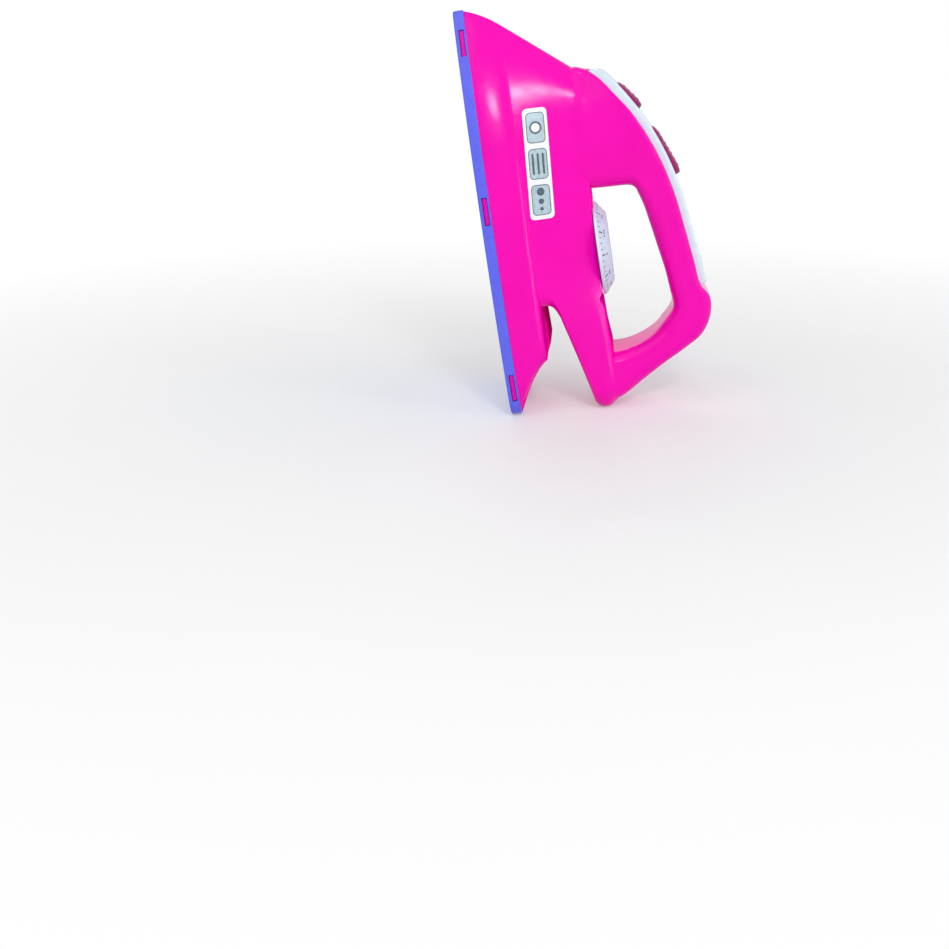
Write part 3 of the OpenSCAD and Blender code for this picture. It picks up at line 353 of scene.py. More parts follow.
soleplate = loft("soleplate_tray", [sole_ring(inset, t) for inset, t in (
    (0.55, 0), (0.2, 0.12), (0, 0.5), (0, rim_height - 0.45), (0.1, rim_height - 0.14), (0.32, rim_height),
    (rim_wall - 0.2, rim_height), (rim_wall, rim_height - 0.3), (rim_wall, sole_plate),
)])
for side in (1, -1):
    for s in window_places:
        window = block("window", (-window_long / 2, -rim_wall - 1, sole_plate),
                       (window_long / 2, 1, sole_plate + window_tall))
        cut(soleplate, at_edge(window, s, side))
door_rear, door_front, door_half, door_gap = 31, 92.4, 11.25, 0.25
cut(soleplate, block("door_opening", (door_rear - door_gap, -door_half - door_gap, -1),
                     (door_front + door_gap, door_half + door_gap, 3)))
speaker_at, hole_circle, hole_round = 108, 5.0, 1.0
for i in range(7):
    a, out = pi / 3 * i, hole_circle if i < 6 else 0
    cut(soleplate, turned("sound_hole", [(hole_round + 0.45, -1), (hole_round, 0.35), (hole_round, 3)],
                          (speaker_at + out * cos(a), out * sin(a), 0), count=32))
stood(soleplate, sole_plastic)
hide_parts("soleplate")


# Battery box with its two small cells, springs and contact plates. The box is white plastic on the sole.
# The springs are wound steel wire, pressed against the cells, and the plates are stamped from sheet.
box_plastic = Finish("box_plastic", (0.8, 0.8, 0.77), 0.5).tint((0.8, 0.8, 0.77), (0.74, 0.75, 0.73), 6)
box_plastic.bump(0.02, 0.4)
bright_steel = Finish("bright_steel", (0.62, 0.62, 0.64), 0.28, metal=1.0).gloss(0.2, 0.4, 0.8, 4, (1, 8, 1))
bright_steel.bump(0.004, 0.3, 3, (1, 12, 1))
cell_sleeve = Finish("cell_sleeve", (0.55, 0.36, 0.07), 0.35, metal=0.6)
cell_sleeve.tint((0.55, 0.36, 0.07), (0.03, 0.03, 0.035), 30, 0, (1, 1, 0.4), start=0.48, end=0.52)
cell_sleeve.gloss(0.28, 0.42, 1.0)


def finish_node(name, finish, soft_mm=0.0):
    """Gives a solid that keeps its shape its own finish and, where it is boxy, softened edges."""
    solid = nodes[name]
    coat(solid, finish)
    if soft_mm:
        edge = solid.modifiers.new("soft_edges", "BEVEL")
        edge.width = soft_mm / 1000
        edge.segments = 2
        edge.limit_method = "ANGLE"
        edge.angle_limit = radians(50)


finish_node("battery_box", box_plastic, 0.25)
finish_node("battery_cells", cell_sleeve, 0.3)
finish_node("cell_contacts", bright_steel)


def tube(name, path, radius, sides=12):
    """A round wire or lead along points in the flat frame, as a closed mesh."""
    turns = [2 * pi * j / sides for j in range(sides)]
    rings = []
    across = Vector((0, 1, 0))
    for i, here in enumerate(path):
        way = (path[min(i + 1, len(path) - 1)] - path[max(i - 1, 0)]).normalized()
        across = (across - way * across.dot(way)).normalized()
        up = way.cross(across)
        rings.append([here + radius * (across * cos(a) + up * sin(a)) for a in turns])
    return loft(name, rings)


spring_wire, spring_turns = 0.6, 4


def coil(name, foot, along, radius, length, steps=28):
    """A compression spring of wound wire that stands on its foot and runs along an axis."""
    along = Vector(along).normalized()
    side = along.cross(Vector((0, 1, 0))).normalized()
    over = along.cross(side)
    count = spring_turns * steps
    path = []
    for i in range(count + 1):
        a = 2 * pi * spring_turns * i / count
        rise = spring_wire / 2 + (length - spring_wire) * i / count
        path.append(Vector(foot) + along * rise + radius * (side * cos(a) + over * sin(a)))
    return tube(name, path, spring_wire / 2)


def joined(name, pieces):
    whole = pieces[0]
    for piece in pieces[1:]:
        join(whole, piece)
    whole.name = name
    return whole


cell_side, cell_axis = 5.5, 7.15
rear_contact, front_contact, contact_gap = 42.0, 92.0, 0.05
coil_round, coil_long = 3.0, 5.4
contact_springs = joined("contact_spring_pair", [
    coil("contact_spring", (foot + way * contact_gap, side * cell_side, cell_axis), (way, 0, 0),
         coil_round, coil_long)
    for side, foot, way in ((1, rear_contact, 1), (-1, front_contact, -1))
])
stood(contact_springs, bright_steel, crisp=60)
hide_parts("cell_springs")


# Battery door. A flat lid in the sole's plastic with a tongue at the front and one screw at the rear.
# Shallow grooves are moulded in where a thumb pushes it.
door_thick, door_screw_at, door_screw_seat = 1.3, 35.5, 2.2
screw_head, screw_head_tall, screw_shank, screw_length = 2.6, 1.6, 1.25, 9
head_bore, shank_bore = 2.7, 1.35
tongue_half, tongue_top = 2.5, 2.4
door = block("battery_door_lid", (door_rear, -door_half, 0), (door_front, door_half, door_thick), 0.35, 3)
groove_first, groove_pitch, groove_round, groove_half = 80, 2.4, 0.9, 7
groove_profile = [(groove_round, -groove_half), (groove_round, groove_half)]
for i in range(5):
    cut(door, turned("groove", groove_profile, (groove_first + groove_pitch * i, 0, -0.55), axis="y", count=24))
join(door, block("tongue_root", (88.4, -tongue_half, 1.0), (90.4, tongue_half, tongue_top)))
join(door, block("tongue", (89.4, -tongue_half, 1.5), (94.4, tongue_half, tongue_top), 0.2))
join(door, turned("door_boss", [(4.0, 0.3), (4.0, 3.2), (3.8, 3.4)], (door_screw_at, 0, 0), count=48))
cut(door, turned("door_bore", [
    (head_bore + 0.3, -1), (head_bore, 0.3), (head_bore, door_screw_seat),
    (shank_bore, door_screw_seat), (shank_bore, 5),
], (door_screw_at, 0, 0), count=48))
stood(door, sole_plastic)
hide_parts("battery_door")


def cross_screw(name, seat, turn):
    """A pan-head screw with a cross recess, drawn upright, then turned and set down on its seat."""
    screw = turned(name, [
        (screw_shank * 0.4, -screw_length), (screw_shank, 1.2 - screw_length), (screw_shank, 0), (screw_head, 0),
        (screw_head, screw_head_tall * 0.45), (screw_head * 0.86, screw_head_tall * 0.8),
        (screw_head * 0.5, screw_head_tall),
    ], (0, 0, 0), count=40)
    arm, narrow = screw_head * 0.62, 0.32
    for x, y in ((arm, narrow), (narrow, arm)):
        cut(screw, block("cross", (-x, -y, screw_head_tall * 0.4), (x, y, screw_head_tall + 1)))
    screw.data.transform(Matrix.Translation(seat) @ turn)
    return screw


door_screw = cross_screw("door_screw", (door_screw_at, 0, door_screw_seat), Matrix.Rotation(pi, 4, "X"))
stood(door_screw, bright_steel)
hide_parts("battery_door_screw")


# Main board with its sound chip under a blob of resin, a capacitor and a lamp on two legs below the dial.
# The board is green coated laminate on two posts of the battery box, held by two small screws.
board_laminate = Finish("board_laminate", (0.05, 0.2, 0.04), 0.4)
board_laminate.tint((0.04, 0.17, 0.035), (0.1, 0.32, 0.07), 1.6, 1, start=0.5, end=0.54).bump(0.03, 1.6, 1)
black_resin = Finish("black_resin", (0.015, 0.015, 0.017), 0.3).gloss(0.22, 0.45, 1.2).bump(0.08, 1.8)
lamp_resin = Finish("lamp_resin", (0.95, 0.93, 0.8), 0.08).set("Transmission Weight", 0.85).gloss(0.05, 0.14, 2.0)
for name in ("main_board", "front_switch_board", "rear_switch_board"):
    finish_node(name, board_laminate, 0.1)
finish_node("board_screws", bright_steel, 0.15)
finish_node("sound_chip", black_resin)
finish_node("capacitor", black_resin, 0.4)
finish_node("indicator_lamp", lamp_resin)


# Speaker. A pressed steel basket with its magnet and a paper cone, seated in a ring over the sound holes.
# The basket is painted dark and the cone is black felted paper.
basket_paint = Finish("basket_paint", (0.2, 0.2, 0.21), 0.45, metal=0.7).bump(0.02, 0.6)
cone_paper = Finish("cone_paper", (0.03, 0.03, 0.032), 0.85).bump(0.06, 0.5, 6)
finish_node("speaker_frame", basket_paint, 0.2)
finish_node("speaker_cone", cone_paper)


# Leads. Thin stranded wires in coloured soft sleeves, soldered from the board to cells, switches and speaker.
# Each one bends in an easy curve between its two soldered ends.
board_low, board_thick, board_end = 23.5, 1.2, 85.0
board_mid, board_top = board_low + board_thick / 2, board_low + board_thick
cell_route = [(91.8, 16.5), (91.4, 18.9), (89, 23.5), (86.6, board_mid), (board_end, board_mid)]


def easy_curve(points, steps=8):
    """Smooth line through points, leaving and arriving straight."""
    ends = [points[0], *points, points[-1]]
    line = []
    for k in range(1, len(ends) - 2):
        a, b, c, d = (Vector(p) for p in ends[k - 1:k + 3])
        bend, twist = 2 * a - 5 * b + 4 * c - d, 3 * b - a - 3 * c + d
        for q in (i / steps for i in range(steps)):
            line.append(0.5 * (2 * b + (c - a) * q + bend * q * q + twist * q ** 3))
    return [*line, Vector(points[-1])]


def sleeve(name, colour):
    return Finish(name, colour, 0.55).gloss(0.45, 0.65, 0.7).bump(0.015, 0.3)


front_seat = (108.2, 57.9011, radians(-34.1436))
rear_seat = (86.6, 68.4849, radians(-20.4926))
front_stem, rear_stem = 0, 4
switch_board_depth, switch_leads_at, lead_rise = 11.8, 83, 3


def switch_route(s, rise, slope, stem):
    """Way of a lead from the board to the switch below a button, as (s, t)."""
    along = Vector((cos(slope), sin(slope)))
    inward = Vector((sin(slope), -cos(slope)))
    foot = Vector((s, rise)) + stem * along + switch_board_depth * inward
    drop = foot + lead_rise * inward
    start, lift = (Vector((switch_leads_at, t)) for t in (board_top, board_top + lead_rise))
    way = drop - lift
    climb = [lift + Vector((way.x * p, way.y * q)) for p, q in ((0.3, 0.4), (0.8, 0.75))]
    return [start, lift, *climb, drop, foot]


speaker_route = [
    (board_end, board_mid), (board_end + 5, board_mid), (98.8, board_mid - 5),
    (106.5, 15.85), (speaker_at, 10.85), (speaker_at, 7.85),
]
lead_round = 0.62
for node, slot, colour, route, y in (
    ("positive_wire", "red_lead", (0.55, 0.02, 0.02), cell_route, cell_side),
    ("negative_wire", "black_lead", (0.015, 0.015, 0.015), cell_route, -cell_side),
    ("front_switch_wire", "orange_lead", (0.75, 0.2, 0.02), switch_route(*front_seat, front_stem), 3),
    ("rear_switch_wire", "green_lead", (0.03, 0.3, 0.05), switch_route(*rear_seat, rear_stem), -3),
    ("speaker_wire", "yellow_lead", (0.7, 0.55, 0.05), speaker_route, 0),
):
    lead = tube(node + "_sleeve", easy_curve([(p[0], y, p[1]) for p in route]), lead_round)
    stood(lead, sleeve(slot + "_sleeve", colour), crisp=60)
    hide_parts(node)


# Switches under the push buttons, each with its return spring round the plunger.
# The switch is a black moulded cube on its own small board; the spring is wound steel wire.
finish_node("front_switch", black_resin, 0.2)
finish_node("rear_switch", black_resin, 0.2)
button_travel, switch_depth, plunger_coil_round = 1.4, 10.6, 3.9
buttons = (("front_button", front_seat, front_stem, 13.0), ("rear_button", rear_seat, rear_stem, 20.5))
for name, (s, rise, slope), stem, _ in buttons:
    along = Vector((cos(slope), 0, sin(slope)))
    outward = Vector((-sin(slope), 0, cos(slope)))
    foot = Vector((s, 0, rise)) + along * stem - outward * (switch_depth - 0.1)
    outward_standing = (flat_to_standing.to_3x3() @ outward).normalized()
    foot_standing = flat_to_standing @ foot
    solid = nodes[name + "_spring"].data
    length = max((p.co - foot_standing).dot(outward_standing) for p in solid.vertices) * 1000
    spring = coil(name + "_coil", foot, outward, plunger_coil_round, length)
    stood(spring, bright_steel, crisp=60)
    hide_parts(name + "_spring")
    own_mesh(spring)


# Case. Two hot-pink shells of polished plastic, moulded as a left and a right half and screwed together.
# Skirt, upper body, rear foot and the open handle are one shape; tabs at its lower edge snap into the rim.
# The level faces, such as the deck under the handle, take a matt and slightly darker copy of the pink: painted shade
# in place of the pale reflection they would show at a glancing view.
wall = 2.0
skirt_height, crease = 17.0, 0.4
skirt_top = skirt_height - crease
skirt_lean, shoulder = 2.4, 1.8
skirt_roll, roll_height = 0.95, 3.0
ramp_length = 18.2
deck_height, deck_half = 41.7, 12.6
toe_lean, nose_lean = tan(radians(17)), tan(radians(39))
gap_reach, gap_height = 38.4, 4.1
post_root = skirt_height + gap_height
foot_half_width, foot_taper = 17.5, 2.4
dial_at, recess_floor = 54.6, 39.3
deck_under = recess_floor - wall


def mix(a, b, q):
    return a + (b - a) * q


def clip(q):
    return min(1.0, max(0.0, q))


def ease(q):
    q = clip(q)
    return q * q * (3 - 2 * q)


def lookup(x, table):
    for (x0, y0), (x1, y1) in zip(table, table[1:]):
        if x <= x1:
            return mix(y0, y1, clip((x - x0) / (x1 - x0)))
    return table[-1][1]


def nose_end(t):
    rise = skirt_height - rim_height
    low = clip((t - rim_height) / rise) * rise
    bend = (nose_lean - toe_lean) / (2 * rise)
    return sole_length - 0.5 - low * (toe_lean + bend * low) - max(0, t - skirt_height) * nose_lean


post_neck = post_root + 2.6
foot_arc = [
    (foot_height + foot_round * sin(a), -foot_back - foot_round * cos(a))
    for a in (radians(turn) for turn in range(-75, 41, 5))
]
post_bend = ((-2.6, 0.15), (-1.2, 0.15), (-0.3, -0.2), (0.5, -0.9), (1.2, -2.0), (1.9, -3.5), (2.6, -5.3))
rear_table = [
    (skirt_height, gap_reach), *((post_root + up, gap_reach + out) for up, out in post_bend), *foot_arc,
    (deck_height, -foot_back - 2.2),
]
foot_corner = 9
corner_table = [(skirt_height, heel_corner), (post_neck, 5), (foot_height, foot_corner)]


def rear_end(t):
    return lookup(t, rear_table)


def ramp_end(t):
    return mix(0.5, ramp_length, 1 - (1 - clip((t - rim_height) / (skirt_top - rim_height))) ** 1.5)


def skirt_half(s, t):
    q = clip((t - rim_height) / (skirt_top - rim_height))
    turned_in = skirt_lean * q ** 1.5 + skirt_roll * clip((t - skirt_top + roll_height) / roll_height) ** 2
    return (sole_half - turned_in) * ogive(s, nose_end(t))


def upper_half(s, t):
    nose = nose_end(t)
    rise = clip((t - skirt_height) / (deck_height - skirt_height)) ** 1.2
    side = mix((sole_half - skirt_lean - shoulder) * ogive(s, nose), deck_half * ogive(s, nose, 4, 0.5), rise)
    foot = foot_half_width - foot_taper * clip((t - foot_height) / (deck_height - foot_height)) ** 2
    return mix(side, foot, ease((gap_reach + 3 - s) / (gap_reach + 6)))


def level_ring(t, rear, corner, half, inset=0.0, corner_steps=8, side_steps=44):
    """Outline of the case at one height, from the rear round a corner and along the side to the nose."""
    rear, nose = rear + inset, nose_end(t) - inset
    side = []
    for a in quarter(corner_steps):
        s = rear + corner * (1 - cos(a))
        side.append((s, max(0.1, half(s, t) - inset - corner * (1 - sin(a)))))
    for i in range(1, side_steps):
        s = mix(rear + corner, nose, 1 - (1 - i / side_steps) ** 2)
        side.append((s, max(0.05, half(s, t) - inset)))
    return [(rear, 0, t)] + [(s, y, t) for s, y in side] + [(nose, 0, t)] + [(s, -y, t) for s, y in reversed(side)]


def body_rings():
    """Outlines of skirt, ledge, upper body and rounded top edge, from the rim up to the deck."""
    ledge_low, ledge_high = skirt_top - 0.2, skirt_height + 0.25
    skirt_levels = [mix(rim_height, ledge_low, i / 12) for i in range(13)]
    rings = [level_ring(t, ramp_end(t), heel_corner, skirt_half) for t in skirt_levels]
    for i in range(1, 10):
        t, share = mix(ledge_low, ledge_high, i / 10), ease(i / 10)
        rings.append(level_ring(
            t, mix(ramp_end(t), rear_end(t), share), heel_corner,
            lambda s, t, share=share: mix(skirt_half(s, t), upper_half(s, t), share)))
    top_round = 1.2
    heights = sorted(
        [mix(ledge_high, post_neck, i / 14) for i in range(15)]
        + [mix(post_neck, foot_arc[0][0], i / 16) for i in range(1, 16)]
        + [t for t, _ in foot_arc]
        + [mix(foot_arc[-1][0], deck_height - top_round, i / 2) for i in (1, 2)])
    rings += [level_ring(t, rear_end(t), lookup(t, corner_table), upper_half) for t in heights]
    for a in quarter(6)[1:]:
        t = deck_height - top_round * (1 - sin(a))
        rings.append(level_ring(t, rear_end(t), foot_corner, upper_half, top_round * (1 - cos(a))))
    return rings


wall_steps = [(wall * cos(a), wall * sin(a)) for a in (radians(turn) for turn in range(-90, 91, 30))]


def inner_ring(t, low):
    """Outline of the hollow at one height, a wall's thickness inside the skirt or the upper body."""
    rear_of, half_of = (ramp_end, skirt_half) if low else (rear_end, upper_half)
    rear = max(rear_of(t + up) + across for across, up in wall_steps)
    nose = min(nose_end(t + up) - across for across, up in wall_steps)

    def half(s, height):
        return min(half_of(s, height + up) - across for across, up in wall_steps)

    corner = max(1.0, (heel_corner if low else lookup(t, corner_table)) - wall)
    return [(min(s, nose), y, h) for s, y, h in level_ring(t, rear, corner, half, 0, 5, 20)]


handle_ribs = [
    (79.7, -12.6, 111.7, -12.3), (78.4, 0.1, 123.2, -0.4), (78, 6.1, 121.9, 3.6), (77.8, 11.1, 121.2, 6),
    (77.4, 14.6, 114.1, 12.2), (76.2, 16.4, 105.4, 18.1), (73.9, 17.3, 95.9, 23.1), (69.4, 18.7, 85.3, 27.3),
    (62.4, 20.1, 72.6, 30.7), (53.4, 21.8, 58.3, 33), (43.4, 23.6, 45.3, 34.9), (35.4, 24.5, 35.7, 36.5),
    (32, 24.9, 31.7, 39), (29, 24.8, 26.7, 39.26), (26.6, 23.3, 21.2, 37.6), (24, 20.8, 16.5, 34.2),
    (20.6, 17.2, 12.3, 27.5), (17.7, 12, 7.8, 18.7), (16, 6.1, 2.5, 9.8), (15.6, 0.6, -2.4, 1.4),
    (16.1, -5.2, -3.6, -3.6),
]
handle_half, front_half = 12.2, 4.3
handle_round, strip_round, handle_flare = 5.5, 2.6, 3.7
seat_first, seat_last = 3, 11
strip_half, strip_low, strip_high, seat_gap = 8.5, -0.8, 2.8, 0.4


def rib_values(k):
    """Inner and outer point of a rib, half width, half width at the top, and radius of the top edges."""
    s0, t0, s1, t1 = handle_ribs[k]
    half = handle_half + handle_flare * max(0, (k - 15) / 5) ** 1.5
    front = mix(front_half, half, ease((k - seat_first + 0.6) / 3.6))
    return [s0, deck_height + t0, s1, deck_height + t1, half, front,
            mix(strip_round, handle_round, ease((k - seat_last) / 3))]


rib_rows = [rib_values(k) for k in range(len(handle_ribs))]
rib_spacing = [
    max(0.5, hypot(b[0] + b[2] - a[0] - a[2], b[1] + b[3] - a[1] - a[3]) / 2)
    for a, b in zip(rib_rows, rib_rows[1:])
]


def rib_slope(k, i):
    """Slope of one handle value at a rib, from the stretches before and after it."""
    (gap_a, rise_a), (gap_b, rise_b) = (
        (rib_spacing[n], (rib_rows[n + 1][i] - rib_rows[n][i]) / rib_spacing[n])
        for n in (max(k - 1, 0), min(k, len(rib_spacing) - 1)))
    return (rise_a * gap_b + rise_b * gap_a) / (gap_a + gap_b)


def handle_at(x):
    """Row of handle values at a rib number with a fraction, on a smooth line through the ribs."""
    k = min(int(x), len(rib_rows) - 2)
    q, gap = x - k, rib_spacing[k]
    here, rise = 2 * q ** 3 - 3 * q ** 2 + 1, (q ** 3 - 2 * q ** 2 + q) * gap
    there, fall = 3 * q ** 2 - 2 * q ** 3, (q ** 3 - q ** 2) * gap
    return [here * rib_rows[k][i] + rise * rib_slope(k, i) + there * rib_rows[k + 1][i] + fall * rib_slope(k + 1, i)
            for i in range(len(rib_rows[0]))]


def handle_ring(x, skin=0.0, steps=7):
    """Rounded section of the handle at a rib number, or of its hollow a skin's thickness inside."""
    s0, t0, s1, t1, half, front, top_round = handle_at(x)
    inner, outer = Vector((s0, t0)), Vector((s1, t1))
    depth = (outer - inner).length / 2 - skin * 1.25
    middle, way = (inner + outer) / 2, (outer - inner).normalized()
    half, front = half - skin, front - skin
    r = min(max(0.8, handle_round - skin), depth * 0.8)
    tr = min(max(0.6, top_round - skin), depth * 0.8)
    side = [(-depth + r - r * cos(a), half - r + r * sin(a)) for a in quarter(steps)]
    side += [(mix(r - depth, depth - tr, i / 9), mix(half, front, (i / 9) ** 2.2)) for i in range(1, 9)]
    side += [(depth - tr + tr * sin(a), front - tr + tr * cos(a)) for a in quarter(steps)]
    side += [(d, -y) for d, y in reversed(side)]
    return [(middle.x + way.x * d, y, middle.y + way.y * d) for d, y in side]


def seat_frame(s, rise, slope):
    """Frame on the handle's outer face: x to the toe, z outward."""
    return Matrix.Translation((s, 0, rise)) @ Matrix.Rotation(-slope, 4, "Y")


def seat_point(x, out, ahead=1e-3):
    """Point at a distance out from the handle's outer face, square to it."""
    here, there = handle_at(x), handle_at(x + ahead)
    way = Vector((there[2] - here[2], there[3] - here[3])).normalized()
    return Vector((here[2], here[3])) + Vector((way.y, -way.x)) * out


def strip_point(x, out):
    """Point over the handle's outer face; at the front end the strip is cut upright."""
    upright = ease(1 - (x - seat_first) / 0.6)
    return mix(seat_point(x, out), seat_point(x, 0) + Vector((0, out)), upright)


def strip_reach(x):
    """Half width of the strip, drawn in to the bow of the handle at its front end."""
    return mix(front_half - 0.3, strip_half, ease((x - seat_first) / 2))


def strip_ring(x, spare, low, high):
    half, a, b = strip_reach(x) + spare, strip_point(x, low), strip_point(x, high)
    return [(a.x, -half, a.y), (a.x, half, a.y), (b.x, half, b.y), (b.x, -half, b.y)]


def round_ended(length, width, inset=0.0, steps=12):
    """Outline of a bar with round ends, drawn in by the inset."""
    r, reach = width / 2 - inset, (length - width) / 2
    return [(way * reach + r * cos(a), r * sin(a))
            for way, start in ((1, -pi / 2), (-1, pi / 2))
            for a in (start + pi * i / steps for i in range(steps + 1))]


def stadium_prism(name, length, width, low, high):
    """A straight bar with round ends."""
    outline = round_ended(length, width)
    return loft(name, [[(x, y, z) for x, y in outline] for z in (low, high)])


def button_slot(made, seat, length, spare, low, high):
    """Cuts the slot of a button into a piece, with room to spare all round it."""
    tool = stadium_prism("button_slot", length + 2 * spare, button_width + 2 * spare, low, high)
    tool.data.transform(seat_frame(*seat))
    cut(made, tool)


pink_plastic = Finish("pink_plastic", (0.93, 0.001, 0.45), 0.14).set("Specular IOR Level", 0.11)
pink_plastic.tint((0.9, 0.001, 0.43), (0.94, 0.002, 0.465), 22, 2).gloss(0.1, 0.17, 3.5, 6)
pink_plastic.bump(0.0012, 0.6, 2).bump(0.06, 14, 2)
# Matt, slightly darker copy of the pink for the level faces: painted shade.
shaded_pink_satin = Finish("shaded_pink_satin", (0.92, 0.001, 0.44), 0.5).set("Specular IOR Level", 0.0)
shaded_pink_satin.tint((0.86, 0.001, 0.4), (0.92, 0.002, 0.45), 16, 3).gloss(0.42, 0.56, 2.5, 4)
shaded_pink_satin.bump(0.008, 0.35, 2).bump(0.04, 14, 2)

last_rib = len(handle_ribs) - 1
case = loft("case", body_rings())
join(case, loft("handle", [handle_ring(x / 8) for x in range(8 * last_rib + 1)]))
platform = [(23, 18.3), (19.8, 16.9), (19.8, 15), (40.4, 15), (40.4, 17.9)]
join(case, loft("platform", [
    [(s, y, t - drop if t > skirt_height else t) for s, t in platform]
    for y, drop in ((-12, 0.5), (-11.4, 0), (11.4, 0), (12, 0.5))]))
hollow_low = [rim_height - 1] + [mix(rim_height, skirt_height - wall - 0.1, i / 6) for i in range(1, 7)]
hollow_high = [mix(skirt_height - wall + 0.1, deck_under, i / 14) for i in range(15)]
hollow = loft("hollow", [inner_ring(t, True) for t in hollow_low] + [inner_ring(t, False) for t in hollow_high])
join(hollow, loft("handle_hollow", [handle_ring(x / 3, wall, 3) for x in range(3 * last_rib + 1)]))
boss_places = [(117, 24), (114, 44.3), (20.4, 68.9), (4.5, 37.3), (23, 9.6)]
boss_round, boss_reach = 3.4, 29
for s, t in boss_places:
    cut(hollow, turned("boss", [(boss_round, -boss_reach), (boss_round, boss_reach)], (s, 0, t), axis="y", count=32))
cut(case, hollow)
recess_round, recess_lip, dial_seat, hub_bore = 20.5, 20.9, 40.75, 5.08
cut(case, turned("dial_recess", [(recess_round, 0), (recess_round, 0.6), (recess_lip, 1), (recess_lip, 3)],
                 (dial_at, 0, dial_seat)))
finger_notch = [(17, 44), (17, 41.68), (24, 40.9), (33.6, 40.6), (37.4, 38.9), (39.6, 40.9), (41, 44)]
cut(case, loft("finger_notch", [[(s, y, t) for s, t in finger_notch] for y in (-25, 25)]))
cut(case, turned("hub_bore", [(hub_bore, -4), (hub_bore, 4)], (dial_at, 0, recess_floor), count=64))
seat_steps = [mix(seat_first, seat_last, i / 48) for i in range(49)]
cut(case, loft("strip_seat", [strip_ring(x, seat_gap, strip_low - seat_gap, 6) for x in seat_steps]))
button_width, button_flange, button_gap = 8.6, 1.2, 0.3
for _, seat, _, length in buttons:
    button_slot(case, seat, length, button_flange + button_gap, -4.8, 3)

seam = 0.04
pilot_round, pilot_deep, screw_seat = 1.3, 5.1, -4.5
tab_half, tab_foot = 5, 1.6
# Faces turned up past this level, below the top of the deck, take the painted shade copy of the pink.
shaded_satin_level, shaded_satin_margin = 0.85, 0.3
deck_up = Vector((cos(tilt), 0, sin(tilt)))
standing_to_flat = flat_to_standing.inverted()
for side, name in ((1, "left_shell"), (-1, "right_shell")):
    half_case = placed(name + "_moulding", case.data.copy())
    inside, outside = (seam, 60) if side > 0 else (-60, -seam)
    combine(half_case, block("half_space", (-40, inside, -20), (200, outside, 140)), "INTERSECT")
    if side > 0:
        bore, sides = [(pilot_round, -1), (pilot_round, pilot_deep)], 24
    else:
        bore, sides = [(head_bore, -40), (head_bore, screw_seat), (shank_bore, screw_seat), (shank_bore, 2)], 40
    for s, t in boss_places:
        cut(half_case, turned("screw_bore", bore, (s, 0, t), axis="y", count=sides))
    for s in window_places:
        tab = block("tab", (-tab_half, -2.9, tab_foot), (tab_half, -1.7, 5.7))
        join(tab, block("nub", (-tab_half, -2.3, tab_foot), (tab_half, -0.7, 3.2), 0.2))
        join(half_case, at_edge(tab, s, side))
    stood(half_case, pink_plastic, crisp=30)
    half_case.data.materials.append(shaded_pink_satin.material)
    # Level faces take the darker matt copy, a painted shade.
    for face in half_case.data.polygons:
        height = (standing_to_flat @ face.center).z
        if face.normal.dot(deck_up) > shaded_satin_level and height < deck_height + shaded_satin_margin:
            face.material_index = 1
    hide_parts(name)
bpy.data.objects.remove(case)


# Temperature dial. A low cone of pale milky plastic that turns in the deck under the handle.
# Ticks and heat dots are printed round it; its hub is held below the deck by a snap ring and clicks on a leaf.
dial_base, dial_height, dial_edge = 41.0, 4.9, 1.1
dial_crest = dial_base + dial_height
dial_round, dial_top, hub_round, light_well = 18.0, 13.0, 5, 3.2
cone_low = (dial_round - 0.18, dial_base + dial_edge + 0.1)
cone_high = (dial_top + 0.7, dial_crest - 0.55)
milky_plastic = Finish("milky_plastic", (0.64, 0.79, 0.92), 0.3)
milky_plastic.set("Subsurface Weight", 0.12).set("Subsurface Scale", 0.004)
milky_plastic.tint((0.63, 0.78, 0.91), (0.67, 0.81, 0.93), 7).gloss(0.22, 0.36, 2.5, 5).bump(0.01, 0.5)
dial = turned("temperature_dial_cap", [
    (light_well, 35.15), (4.8, 35.15), (hub_round, 35.4), (hub_round, 35.95), (4.4, 35.95), (4.4, 37.15),
    (hub_round, 37.15), (hub_round, 40.8), (11.5, 40.8), (11.5, dial_base), (17.7, dial_base),
    (dial_round, dial_base + 0.25), (dial_round, dial_base + dial_edge - 0.2), cone_low, cone_high,
    (dial_top + 0.2, dial_crest - 0.16), (dial_top - 0.5, dial_crest), (dial_top - 1.3, dial_crest),
    (dial_top - 1.7, dial_crest - 0.35), (2, dial_crest - 0.2),
], (dial_at, 0, 0), count=144)
cut(dial, turned("light_well", [(light_well, 34), (light_well, dial_crest - 1.6)], (dial_at, 0, 0), count=48))
for i in range(12):
    a = pi / 6 * i
    cut(dial, turned("notch", [(0.7, dial_crest - 1.4), (0.7, dial_crest + 1)],
                     (dial_at + dial_top * cos(a), dial_top * sin(a), 0), count=20))
stood(dial, milky_plastic, "dial")
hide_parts("temperature_dial")

dial_ink = Finish("dial_ink", (0.09, 0.1, 0.16), 0.5).tint((0.07, 0.08, 0.14), (0.16, 0.17, 0.24), 0.6)


def on_cone(angle, share, out):
    """Point on the dial's sloping side: share 0 at its foot, 1 at its top edge."""
    run, rise = cone_high[0] - cone_low[0], cone_high[1] - cone_low[1]
    length = hypot(run, rise)
    r = mix(cone_low[0], cone_high[0], share) + out * rise / length
    height = mix(cone_low[1], cone_high[1], share) - out * run / length
    return (dial_at + r * cos(angle), r * sin(angle), height)


mark_points, mark_faces = [], []


def cone_mark(outline):
    """One flat printed mark with the outline given in (angle, share)."""
    mark_faces.extend(skin_faces(len(outline), 2, len(mark_points)))
    for out in (-0.05, 0.03):
        mark_points.extend(on_cone(a, share, out) for a, share in outline)


